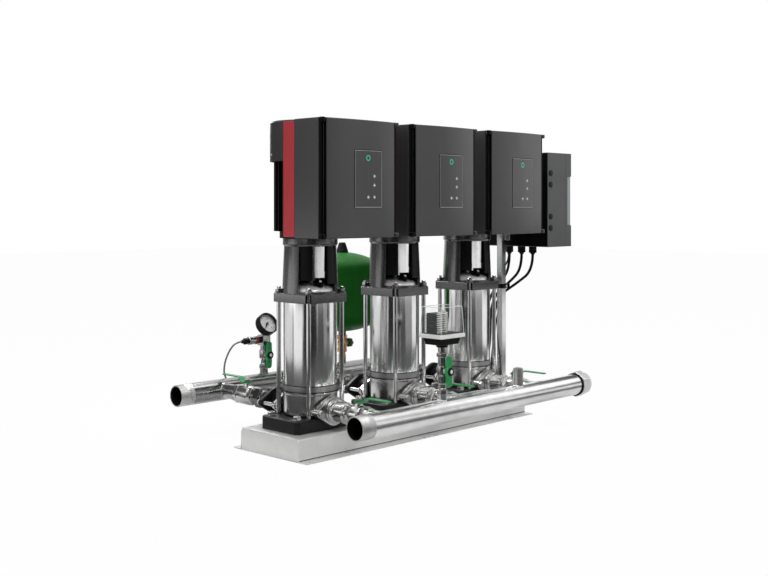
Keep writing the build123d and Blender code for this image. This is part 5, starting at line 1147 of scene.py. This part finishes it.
@dataclass
class PipeLines:
    """Check valves, unions, ball valves and their levers."""

    discharge_stem: float = -181.0
    suction_stem: float = 259.0
    hub: float = 36.0
    stem_end: float = 46.5
    hexagon: float = 13.0

    def discharge(self) -> None:
        """Check valve bodies."""
        face = at((0, -PORT_FACE, PORT_Z), (0, -1, 0))
        body = turned([(BORE_R, 0), (31, 0), (31, 12), (30, 13.4), (27.6, 14), (27.6, 16.4),
                       (30, 17), (30, 19), (28, 20.4), (25.6, 21), (24.6, 24), (24.4, 48),
                       (25.6, 50), (27.6, 51), (27.6, 58.5), (25.6, 60), (23, 61), (23, 68),
                       (BORE_R, 68)], 0.5, 96, True)
        form = Form().add(body, *each_pump(face))
        form.add(hulled(FLANGE, 10, 1.6), *each_pump(face))
        form.piece("check_bodies", FITTING, stands_for=["check_valves"])
        for number in (1, 2, 3):
            dressed(f"check_poppet_{number}", BLACK)

    def suction(self) -> None:
        """Black companion flanges, then nipples and unions."""
        face = at((0, PORT_FACE, PORT_Z), (0, 1, 0))
        taper = turned([(BORE_R, 0), (31, 0), (31, 7), (27, 15), (24.5, 24), (24.5, 45),
                        (24.5, 57), (BORE_R, 57)], 0.8, 96, True)
        form = Form().add(taper, *each_pump(face))
        plate = hulled(FLANGE, 12, 2.0)
        form.add(plate, *each_pump(at((0, COMPANION_END - 12, PORT_Z), (0, 1, 0))))
        form.piece("companion_flanges", CASTING, stands_for=["suction_flanges"])
        nipple = turned([(BORE_R, 0), (26, 0), (26, 11), (24.4, 13.5), (22.6, 17), (NECK_R, 33),
                         (NECK_R, 36), (24, 37.5), (24, 44), (24, 81), (BORE_R, 81)],
                        0.6, 96, True)
        start = at((0, COMPANION_END, PORT_Z), (0, 1, 0))
        form = Form().add(nipple, *each_pump(start))
        nut = at((0, COMPANION_END + 43, PORT_Z), (0, 1, 0), 30)
        form.add(prism(6, 52, 23, 1.8), *each_pump(nut))
        form.piece("union_set", UNION, stands_for=["pipe_unions"])

    def valves(self) -> None:
        """Ball valve bodies with hexagon ends and their stem bosses."""
        form = Form()
        for stem_y, half in ((self.discharge_stem, 29.0), (self.suction_stem, 37.0)):
            middle = half - self.hexagon
            for way in (-1, 1):
                end = at((0, stem_y + way * half, PORT_Z), (0, -way, 0), 30)
                form.add(prism(6, 48, self.hexagon, 1.6), *each_pump(end))
                lip = at((0, stem_y + way * (half - 0.6), PORT_Z), (0, way, 0))
                form.add(tube(22.5, 16.5, 1.2, 0.3, 48), *each_pump(lip))
            belly = turned([(0, -middle), (23, -middle), (25, -middle + 2), (27, -middle + 6),
                            (27, middle - 6), (25, middle - 2), (23, middle), (0, middle)],
                           0.6, 96)
            form.add(belly, *each_pump(at((0, stem_y, PORT_Z), (0, 1, 0))))
            boss = turned([(0, 20), (12, 20), (11, 27), (10, 29), (10, 34), (0, 34)], 0.5, 48)
            form.add(boss, *each_pump(at((0, stem_y, PORT_Z))))
        form.piece("valve_bodies", FITTING, stands_for=["ball_valves"])

    def levers(self) -> None:
        """Green levers on their stems."""
        top = self.hub
        bends = [(-12, top, 15), (-8, top, 20), (14, top, 20), (21, top + 4, 18.4),
                 (29, top + 11.2, 16.6)]
        bends += [(y, top + 12.4, width)
                  for y, width in ((36, 15.2), (70, 14), (101, 15), (106, 13), (108, 9))]
        for line, stem_y, turn, ball in (("discharge", self.discharge_stem, 180.0, 15.2),
                                         ("suction", self.suction_stem, 0.0, 22.0)):
            bored = [(ball * across, ball * along) for across, along in BORED_BALL]
            for number, x in enumerate(PUMP_X, start=1):
                node = f"{line}_lever_{number}"
                place = at((x, stem_y, PORT_Z), roll=turn)
                grip = Form().add(ribbon(bends, 3.4, 1.0), place)
                grip.piece(f"{node}_grip", GREEN, node, [node])
                disc = turned([(0, 0), (11.5, 0), (11.5, 2.6), (9.5, 4.4), (0, 4.4)], 0.6, 40)
                hub = Form().add(disc, place @ at((0, 0, top - 1.2)))
                hub.piece(f"{node}_hub", DEEP_GREEN, node)
                stem = Form().add(rod(5, self.stem_end - ball, 0.5, 32), place @ at((0, 0, ball)))
                stem.add(prism(6, 14, 5, 0.8), place @ at((0, 0, top + 3.2), roll=20))
                stem.add(turned(bored, 0, 64, True), place @ at((0, 0, 0), (0, 1, 0)))
                stem.piece(f"{node}_stem", ZINC, node)

    def build(self) -> None:
        """Dress the lines."""
        self.discharge()
        self.suction()
        self.valves()
        self.levers()


@dataclass
class Manifolds:
    """Suction and discharge manifolds with their caps."""

    bore: float = 26.5
    thread_end: float = 29.8

    def pipe(self, name: str, axis_y: float, ends: tuple[float, float], toward: int,
             neck: float, sockets: Sequence[tuple[float, float, float]], finish: Finish) -> None:
        """Build one manifold.

        Args:
            name: The node that it stands for.
            axis_y: Where its axis runs.
            ends: Its open end and its capped end.
            toward: The side on which the pumps are.
            neck: Length of its necks.
            sockets: Place, radius and height of each socket on top.
            finish: Its finish.
        """
        length = ends[1] - ends[0]
        threads = [(self.thread_end - 0.75 * (i % 2), 1.6 + i * 1.15) for i in range(20)]
        along = at((ends[0], axis_y, PORT_Z), (1, 0, 0))
        start = [(self.bore, 0), (28.6, 0), *threads, (29.5, 24.6), (30.1, 27), (30.1, 34),
                 (29.6, 34.4), (29.6, 35.6), (30.1, 36), (30.1, 44.4), (self.bore, 44.4)]
        Form().add(turned(start, 0, 128, True), along).piece(f"{name}_thread", THREAD)
        outline = [(self.bore, 44), (29.9, 44), (PIPE_R, 44.6), (PIPE_R, length),
                   (self.bore, length)]
        form = Form().add(turned(outline, 0, 128, True), along)
        out = (0, toward, 0)
        for x in PUMP_X:
            form.add(tube(NECK_R, BORE_R, neck + 8, 0.5, 72),
                     at((x, axis_y + toward * (PIPE_R - 8), PORT_Z), out))
            form.add(tube(23.4, BORE_R, 12, 1.0, 72),
                     at((x, axis_y + toward * (PIPE_R + neck - 13), PORT_Z), out))
            weld = Matrix.Rotation(-toward * pi / 2, 4, "X")
            form.add(bead(NECK_R, PIPE_R, 2.4), Matrix.Translation((x, axis_y, PORT_Z)) @ weld)
        for x, radius, height in sockets:
            form.add(tube(radius, radius - 3.2, PIPE_R + height - 20, 0.7, 56),
                     at((x, axis_y, PORT_Z + 20)))
            form.add(bead(radius, PIPE_R, 1.7), Matrix.Translation((x, axis_y, PORT_Z)))
        form.piece(f"{name}_pipe", finish, stands_for=[name])
        inside = turned(band(self.bore, self.bore - 0.15, 1.0, length - 1), 0, 96, True)
        Form().add(inside, along).piece(f"{name}_bore", BORE)

    def caps(self) -> None:
        """Screw caps with their seal rings."""
        form, seals = Form(), Form()
        for axis_y, end in ((SUCTION_Y, 470.0), (DISCHARGE_Y, 483.0)):
            place = at((end - 20, axis_y, PORT_Z), (1, 0, 0), 30)
            form.add(prism(6, 66, 30, 2.6), place)
            crown = turned([(0, 28), (32.6, 28), (32.6, 33), (30.6, 41), (26, 46), (12, 47),
                            (0, 47)], 1.0, 96)
            form.add(crown, place)
            seals.add(tube(33.4, PIPE_R, 5, 1.2, 96), at((end - 26, axis_y, PORT_Z), (1, 0, 0)))
        form.piece("end_caps", CAP, stands_for=["manifold_caps"])
        seals.piece("cap_seals", RUBBER)

    def build(self) -> None:
        """Dress the manifolds."""
        # The suction manifold takes the darker tint of the same drawn pipe: painted shade.
        self.pipe("suction_manifold", SUCTION_Y, (-473.0, 470.0), -1, 55.0,
                  [(-160.0, 12.0, 14.0), (161.0, 12.0, 14.0)], PIPE_PAINTED_SHADE)
        self.pipe("discharge_manifold", DISCHARGE_Y, (-445.0, 483.0), 1, 53.0,
                  [(-133.0, 12.0, 14.0), (187.0, 14.0, 47.0)], PIPE)
        self.caps()


@dataclass
class Instruments:
    """Gauge branch, pressure transmitter, switch branch and their cocks."""

    gauge_x: float = -160.0
    gauge_height: float = 100.0
    switch_x: float = -133.0
    switch_height: float = 120.0
    gauge_tilt: float = 30.0
    gauge_cock_drop: float = 58.0
    switch_cock_drop: float = 60.0
    block: float = 14.0

    def branches(self) -> None:
        """The two cocks with their barrels, bosses and unions."""
        form = Form()
        for x, y, height, drop in (
                (self.gauge_x, SUCTION_Y, self.gauge_height, self.gauge_cock_drop),
                (self.switch_x, DISCHARGE_Y, self.switch_height, self.switch_cock_drop)):
            base = at((x, y, SOCKET_TOP))
            barrel = turned([(0, 0), (11, 0), (11, 14), (9.4, 16), (9.4, 26), (11, 28),
                             (11, height - 26), (9.6, height - 24), (9.6, height - 14),
                             (11, height - 12), (11, height), (0, height)], 0.5, 64)
            form.add(barrel, base)
            form.add(prism(6, 24.2, 12, 1.2), base)
            level = SOCKET_TOP + height - drop
            form.add(turned([(4.2, 0), (9, 0), (9, 16), (8, 19), (4.2, 19)], 0.5, 48, True),
                     at((x, y, level), (0, -1, 0)))
            belly = [(0, -13), (12.6, -13), (14, -9), (14, 9), (12.6, 13), (0, 13)]
            form.add(turned(belly, 0.6, 64), at((x, y, level)))
        top = SOCKET_TOP + self.gauge_height
        form.add(box((self.gauge_x - self.block, SUCTION_Y - self.block, top - 32),
                     (self.gauge_x + self.block, SUCTION_Y + self.block, top), 1.6, 3))
        form.add(prism(6, 26.4, 10, 1.2), at((self.switch_x, DISCHARGE_Y,
                                              SOCKET_TOP + self.switch_height - 24)))
        form.piece("cock_bodies", FITTING, stands_for=["branch_cocks"])

    def handle(self, node: str, x: float, axis_y: float, level: float) -> None:
        """Butterfly handle with a black ring and a pale centre."""
        face = axis_y - 20.0
        front = (0, -1, 0)
        place = at((x, face, level), front)
        wings = Form()
        for way in (1, -1):
            wings.add(hulled([(0, 0, 10.0), (0, way * 31, 8.4)], 7, 1.6), place)
        wings.add(turned([(0, -0.4), (14, -0.4), (14, 6), (12, 8.4), (0, 8.4)], 0.7, 56), place)
        wings.piece(f"{node}_wings", GREEN, node, [node])
        ring = turned([(5.2, 0), (10.4, 0), (10.4, 4.2), (9, 5.2), (5.2, 5.2)], 0.4, 48, True)
        for part, shape, y, finish in (("ring", ring, face - 7.6, BLACK),
                                       ("screw", rod(5.2, 3.8, 0.6, 32), face - 8.4, WHITE),
                                       ("spindle", rod(4, 18, 0.3, 32), axis_y - 2, ZINC)):
            Form().add(shape, at((x, y, level), front)).piece(f"{node}_{part}", finish, node)

    def numeral(self, text: str, place: Matrix) -> bmesh.types.BMesh:
        """One number of the dial as a thin shape."""
        curve = bpy.data.curves.new("numeral", "FONT")
        curve.body = text
        curve.size = 5.4
        curve.align_x, curve.align_y = "CENTER", "CENTER"
        curve.extrude = 0.05
        holder = bpy.data.objects.new("numeral", curve)
        data = bpy.data.meshes.new_from_object(holder)
        mesh = bmesh.new()
        mesh.from_mesh(data)
        bmesh.ops.remove_doubles(mesh, verts=mesh.verts, dist=1e-4)
        bmesh.ops.transform(mesh, matrix=place, verts=mesh.verts)
        bpy.data.objects.remove(holder)
        bpy.data.curves.remove(curve)
        bpy.data.meshes.remove(data)
        return mesh

    def gauge(self) -> None:
        """Gauge case, dial with its scale, glass and needle."""
        tilt = radians(self.gauge_tilt)
        back = Vector((self.gauge_x, SUCTION_Y, SOCKET_TOP + self.gauge_height + 24))
        place = Matrix.Translation(back) @ Matrix(((1, 0, 0), (0, sin(tilt), -cos(tilt)),
                                                   (0, cos(tilt), sin(tilt)))).to_4x4()
        case = turned([(0, 0), (27, 0), (31, 1.6), (33, 5), (33, 24.5), (32.2, 26.4), (31, 27),
                       (30, 26), (30, 14), (0, 14)], 0.5, 128)
        Form().add(case, place).piece("gauge_case", BLACK, stands_for=["pressure_gauge"])
        top = SOCKET_TOP + self.gauge_height
        stem = Form().add(rod(6, 32, 0.4, 40), at((self.gauge_x, SUCTION_Y, top)))
        stem.add(prism(6, 15, 8, 0.8), at((self.gauge_x, SUCTION_Y, top + 2)))
        stem.piece("gauge_stem", ZINC)
        dressed("gauge_dial", DIAL)
        scale, numbers = Form(), Form()
        for step in range(51):
            angle = radians(225 - step * 270 / 50)
            major = step % 10 == 0
            medium = step % 5 == 0
            inner = 21.5 if major else 23.5 if medium else 24.6
            width = 0.9 if major else 0.5
            tick = box((inner, -width / 2, 15.2), (26.4, width / 2, 15.34), 0)
            scale.add(tick, place @ Matrix.Rotation(angle, 4, "Z"))
            if major:
                spot = Matrix.Translation((cos(angle) * 17.2, sin(angle) * 17.2, 15.26))
                numbers.add(self.numeral(str(step // 5), place @ spot))
        scale.add(tube(27.0, 26.4, 0.14, 0, 96), place @ Matrix.Translation((0, 0, 15.2)))
        scale.piece("dial_scale", BLACK)
        numbers.piece("dial_numbers", BLACK)
        dressed("gauge_needle", BLACK)
        dressed("gauge_glass", GLASS)
        hub = Form().add(rod(3.4, 1.6, 0.4, 32), place @ Matrix.Translation((0, 0, 18.4)))
        hub.piece("needle_hub", BLACK, "gauge_needle")

    def transmitter(self) -> None:
        """Pressure transmitter: black nut, red ring, bright barrel and black connector."""
        level = SOCKET_TOP + self.gauge_height - self.block
        place = at((self.gauge_x - self.block, SUCTION_Y, level), (-1, 0, 0))
        black = Form().add(prism(6, 18, 10, 0.9), place @ at((0, 0, 1)))
        plug = [(0, 46), (8, 46), (8, 52), (9.4, 53.5), (9.4, 60), (6, 64), (5, 70), (0, 70)]
        black.add(turned(plug, 0.5, 56), place)
        black.piece("transmitter_ends", BLACK, stands_for=["pressure_transmitter"])
        ring = [(0, 11), (11, 11), (12, 12.5), (12, 21), (11, 22.5), (0, 22.5)]
        Form().add(turned(ring, 0.5, 64), place).piece("transmitter_ring", RED_RING)
        barrel = [(0, 22), (10.5, 22), (10.5, 31), (12, 33), (12, 45), (10.5, 46.5), (0, 46.5)]
        Form().add(turned(barrel, 0.5, 64), place).piece("transmitter_barrel", FITTING)

    def around(self, dx: float, dy: float, level: float) -> list[Vector]:
        """Four corners about the switch's axis."""
        return [Vector((self.switch_x + sx * dx, DISCHARGE_Y + sy * dy, level))
                for sx, sy in ((-1, -1), (1, -1), (1, 1), (-1, 1))]

    def switch(self) -> None:
        """Pressure switch: base, rim, works with springs, clear cover, and pale rods on the cover's
        edges as painted highlights.
        """
        x, y = self.switch_x, DISCHARGE_Y
        low = SOCKET_TOP + self.switch_height
        refined("pressure_switch", BLACK, 1.4)
        refined("switch_rim", WHITE, 1.4, segments=3)
        rim_top = low + 36.0
        works = Form().add(box((x - 34, y - 9, rim_top), (x + 2, y + 24, rim_top + 52), 1.6))
        for level in range(6):
            fin = rim_top + 6 + level * 7.5
            works.add(box((x - 35, y - 10, fin), (x + 3, y + 25, fin + 3.4), 0.5))
        works.add(box((x - 42, y - 34, rim_top + 0.1), (x + 42, y + 34, rim_top + 1.6), 0.3))
        works.piece("switch_block", WORKS, stands_for=["switch_works"])
        springs, stems = Form(), Form()
        for dx, dy in ((-31.0, -19.0), (-12.0, -19.0), (16.0, 12.0)):
            springs.add(coil(6.6, 1.3, 5.6, 9), at((x + dx, y + dy, rim_top + 4)))
            for shape, rise in ((rod(2.2, 55, 0.3, 20), 0), (prism(6, 9, 4, 0.6), 52),
                                (rod(7.6, 3, 0.4, 32), 1)):
                stems.add(shape, at((x + dx, y + dy, rim_top + rise)))
        springs.piece("switch_springs", WHITE)
        stems.piece("switch_stems", ZINC)
        dressed("switch_cover", CLEAR)
        # Pale rods along the clear cover's edges: painted highlights.
        edges = Form()
        feet = self.around(43.6, 35.6, rim_top + 0.5)
        peaks = self.around(40.2, 32.2, rim_top + 68.4)
        for one, other in [*zip(feet, peaks), *zip(peaks, peaks[1:] + peaks[:1])]:
            edges.add(rod(0.75, (other - one).length, 0, 12), at(one, other - one))
        edges.piece("cover_edge_highlights", COVER_EDGE_HIGHLIGHT)
        screws = Form()
        for dx in (-42, 42):
            for dy in (-34, 34):
                screws.add(turned([(0, 0), (3.2, 0), (3, 1.4), (0, 1.9)], 0.2, 24),
                           at((x + dx, y + dy, rim_top)))
        screws.piece("switch_rim_screws", ZINC)

    def build(self) -> None:
        """Dress the instruments."""
        self.branches()
        self.handle("gauge_cock_handle", self.gauge_x, SUCTION_Y,
                    SOCKET_TOP + self.gauge_height - self.gauge_cock_drop)
        self.handle("switch_cock_handle", self.switch_x, DISCHARGE_Y,
                    SOCKET_TOP + self.switch_height - self.switch_cock_drop)
        self.gauge()
        self.transmitter()
        self.switch()


@dataclass
class Tank:
    """Diaphragm tank with its cap and brass valve."""

    x: float = 161.0
    radius: float = 120.0
    bottom: float = 236.0
    height: float = 250.0
    dome: float = 56.0
    knuckle: float = 35.0
    seam_rise: float = 58.0

    def end(self, way: int, side: float) -> list[tuple[float, float]]:
        """Outline of one domed end, from the straight side to the pole."""
        reach = self.radius - self.knuckle
        crown = (reach**2 + self.dome**2 - self.knuckle**2) / (2 * (self.dome - self.knuckle))
        drop = crown - self.dome
        meeting = atan2(drop, reach)
        points = [(reach + self.knuckle * cos(meeting * i / 8), self.knuckle * sin(meeting * i / 8))
                  for i in range(9)]
        rest = pi / 2 - meeting
        for i in range(1, 13):
            angle = meeting + rest * i / 12
            points.append((crown * cos(angle), crown * sin(angle) - drop))
        return [(max(r, 0.0), side + way * z) for r, z in points]

    def build(self) -> None:
        """Dress the tank."""
        top = self.bottom + self.height
        upper = self.end(1, top - self.dome)
        lower = self.end(-1, self.bottom + self.dome)
        seam = (self.bottom + top) / 2 + self.seam_rise
        side = [(self.radius, seam - 3), (self.radius, seam - 2.2), (self.radius - 0.9, seam),
                (self.radius, seam + 2.2), (self.radius, seam + 3)]
        profile = [*reversed(lower), *side, *upper]
        place = at((self.x, SUCTION_Y, 0))
        shell = Form().add(turned(profile, 0, 160), place)
        low, valve_top, under = SOCKET_TOP, self.bottom - 12, self.bottom + 4
        neck = [(0, valve_top), (12, valve_top), (12, under - 2), (18, under), (0, under)]
        shell.add(turned(neck, 0.6, 64), place)
        shell.piece("tank_shell", TANK, stands_for=["diaphragm_tank"], smooth=50)
        cap = turned([(0, -1), (19.6, -1.2), (20, 1), (19.2, 3), (10.8, 29), (9.4, 31), (0, 31)],
                     0.8, 72)
        Form().add(cap, place @ at((0, 0, top))).piece("tank_cone", BLACK, stands_for=["tank_cap"])
        body = turned([(0, low), (12, low), (12, low + 10), (10.4, low + 12),
                       (10.4, valve_top - 56), (13, valve_top - 54), (13, valve_top - 40),
                       (15, valve_top - 34), (15, valve_top - 22), (13, valve_top - 16),
                       (13, valve_top), (0, valve_top)], 0.7, 72)
        brass = Form().add(body, place)
        brass.add(prism(6, 28, 14, 1.4), place @ at((0, 0, valve_top - 54)))
        brass.add(prism(6, 30, 14, 1.4), place @ at((0, 0, valve_top - 14)))
        knob_z = valve_top - 27
        brass.add(turned([(4.1, 0), (9, 0), (9, 18), (8, 20), (4.1, 20)], 0.5, 48, True),
                  at((self.x, SUCTION_Y, knob_z), (1, 0, 0)))
        brass.piece("tank_valve_body", BRASS, stands_for=["tank_valve"])
        refined("tank_valve_knob", DEEP_GREEN, 1.2, "tank_valve_knob", segments=3)
        end = Form().add(rod(7, 2.4, 0.8, 40), at((self.x + 36.6, SUCTION_Y, knob_z), (1, 0, 0)))
        end.piece("tank_knob_insert", BLACK, "tank_valve_knob")


@dataclass
class ControlCabinet:
    """Post, cabinet with its door and latch, and the fittings of its cables."""

    left: float = 510.0
    front: float = -163.0
    back: float = 130.0
    bottom: float = 506.0
    top: float = 796.0
    display_x: tuple[float, float] = (613.5, 629.1)
    display_z: tuple[float, float] = (573.5, 722.5)

    def fittings(self) -> None:
        """Glands, blind plugs, post clamp and grommets."""
        form = Form()
        for index, (x, y) in enumerate(((540, -84), (540, -41), (540, 7), (519, -6))):
            scale = 1.0 if index < 3 else 0.6
            place = at((x, y, self.bottom - 25))
            form.add(turned([(0, 0), (5.4 * scale + 0.6, 0), (8.6 * scale, 7), (11.4 * scale, 13),
                             (12 * scale, 14), (12 * scale, 20), (0, 20)], 0.4, 48), place)
            form.add(prism(6, 23 * scale, 6, 0.7), place @ at((0, 0, 18.8)))
            for rib in range(12):
                turn = Matrix.Rotation(rib * pi / 6, 4, "Z")
                form.add(box((7.6 * scale, -0.7, 5.4), (12.1 * scale, 0.7, 16), 0.3), place @ turn)
        for rise in (59, 94, 192, 227):
            plug = turned([(0, -3), (7.6, -3), (9, -2.2), (9, 0), (0, 0)], 0.3, 40)
            form.add(plug, at((self.left + 14, self.front, self.bottom + rise), (0, 1, 0)))
        clamp = [((456, -30, 376), (494, -25, 390)), ((456, -5, 376), (494, 4, 390)),
                 ((456, -30, 376), (460, 4, 390)), ((480, -30, 376), (494, 4, 390))]
        for low, high in clamp:
            form.add(box(low, high, 0.8))
        for x, y, r in ((447, 8, 4.25), (447, 27, 4.25), (447, 46, 4.25), (447, -14, 2.6)):
            form.add(turned([(r + 0.1, -3), (r + 1.9, -3), (r + 1.9, 0), (r + 5, 0), (r + 4.4, 3),
                             (r + 0.1, 3)], 0.3, 40, True), at((x, y, 57)))
        for x, y, way in ((420, 113, 1), (160, -113, -1)):
            form.add(turned([(2.7, -3), (4.5, -3), (4.5, 0), (7.6, 0), (7, 3), (2.7, 3)], 0.3, 40,
                            True), at((x, y, 34), (0, way, 0)))
        form.piece("cabinet_fitting_set", BLACK, stands_for=["cabinet_fittings"])
        screw = Form().add(turned([(0, 0), (4.2, 0), (4.2, 2), (3, 3), (0, 3)], 0.3, 32),
                           at((475, -30, 383), (0, -1, 0)))
        screw.piece("clamp_screw", ZINC)

    def build(self) -> None:
        """Dress the cabinet."""
        refined("cabinet_post", POST, 1.0)
        refined("cabinet_body", CABINET, 1.2)
        refined("cabinet_door", CABINET, 1.4, "cabinet_door")
        refined("cabinet_latch", CABINET_BLACK, 0.5, "cabinet_latch")
        refined("controller_panel", DISPLAY, 1.2, "cabinet_door")
        (near, far), (low, high) = self.display_x, self.display_z
        sides = Form()
        for y in (self.front, self.back):
            sides.add(box((near, y - 0.4, low), (far, y + 0.4, high), 0.3))
        sides.piece("display_sides", DISPLAY_SIDE, "cabinet_door")
        # Thin black plate over the cabinet's -X face: painted shade on that face.
        plate = box((self.left - 0.4, self.front + 2, self.bottom + 2),
                    (self.left + 0.4, self.back - 2, self.top - 2), 0.3)
        Form().add(plate).piece("cabinet_painted_shade_plate", GROOVE)
        self.fittings()


@dataclass
class Cables:
    """Cables between the cabinet, the instruments and the base frame."""

    power_r: float = 0.00425
    signal_r: float = 0.0026

    def run(self, name: str, route: Sequence[Point], radius: float, finish: Finish,
            stands_for: Sequence[str]) -> None:
        """Lay one cable.

        Args:
            name: The cable's name.
            route: Its control points in metres.
            radius: Its radius in metres.
            finish: Its jacket.
            stands_for: CAD nodes that it replaces.
        """
        data = bpy.data.curves.new(name, "CURVE")
        data.dimensions = "3D"
        spline = data.splines.new("NURBS")
        spline.points.add(len(route) - 1)
        for point, place in zip(spline.points, route):
            point.co = (*place, 1.0)
        spline.order_u = 3
        spline.use_endpoint_u = True
        spline.resolution_u = 16
        data.bevel_depth = radius
        data.bevel_resolution = 5
        data.use_fill_caps = True
        data.materials.append(finish.material())
        made = linked(name, data)
        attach(made, "frame")
        if stands_for:
            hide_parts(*stands_for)
        LOG.info("%s: %d points", name, len(route))

    def build(self) -> None:
        """Lay all cables."""
        for number, gland_y, dip, clamp_y, clamp_z, x, post_y, frame_y, length in (
                (1, -0.084, 0.431, 0.011, 0.352, 0.462, 0.008, 0.008, 0.503),
                (2, -0.041, 0.435, 0.019, 0.363, 0.454, 0.016, 0.027, 0.489),
                (3, 0.007, 0.439, 0.029, 0.374, 0.448, 0.026, 0.046, 0.482)):
            self.run(f"power_cable_{number}", [
                (0.540, gland_y, 0.485), (0.540, gland_y, dip),
                (0.5193, (gland_y + clamp_y) / 2, dip - 0.042), (0.494, clamp_y, clamp_z),
                (x, post_y, clamp_z - 0.052), (x, post_y, 0.210), (0.447, frame_y, 0.130),
                (0.447, frame_y, 0.037)], self.power_r, RUBBER,
                ["power_cables"] if number == 1 else [])
        self.run("signal_cable", [
            (0.519, -0.006, 0.485), (0.519, -0.006, 0.461), (0.487, -0.003, 0.429),
            (0.487, -0.003, 0.350), (0.474, 0.0, 0.310), (0.458, 0.0, 0.250),
            (0.447, -0.003, 0.185), (0.447, -0.014, 0.120), (0.447, -0.014, 0.037)],
            self.signal_r, RUBBER, [])
        self.run("switch_cable", [
            (-0.107, -0.28315, 0.27915), (-0.105, -0.28415, 0.23115), (-0.107, -0.28215, 0.17115),
            (-0.102, -0.27503, 0.14615), (-0.081, -0.26903, 0.13515), (0.100, -0.26903, 0.13515),
            (0.134, -0.25703, 0.11315), (0.154, -0.20703, 0.06915), (0.160, -0.163, 0.034),
            (0.160, -0.093, 0.034)], self.signal_r, PALE_CABLE, [])
        self.run("sensor_lead", [
            (-0.244, 0.38115, 0.23715), (-0.266, 0.38115, 0.23715), (-0.286, 0.38715, 0.21315),
            (-0.290, 0.40315, 0.17515), (-0.282, 0.4149, 0.13715), (-0.250, 0.4159, 0.107),
            (-0.184, 0.4149, 0.105), (0.350, 0.4149, 0.104), (0.408, 0.4129, 0.077),
            (0.420, 0.3649, 0.045), (0.420, 0.223, 0.034), (0.420, 0.093, 0.034)],
            self.signal_r, GREY_CABLE, ["sensor_cable"])


def main() -> None:
    """Build the studio, lay the cables and dress every sub-assembly."""
    logging.basicConfig(level=logging.INFO, format="%(name)s %(message)s")
    for part in (Studio(), Cables(), BaseAndFeet(), Hydraulics(), MotorsAndDrives(), PipeLines(),
                 Manifolds(), Instruments(), Tank(), ControlCabinet()):
        LOG.info("building %s", type(part).__name__)
        part.build()


if __name__ == "__main__":
    main()
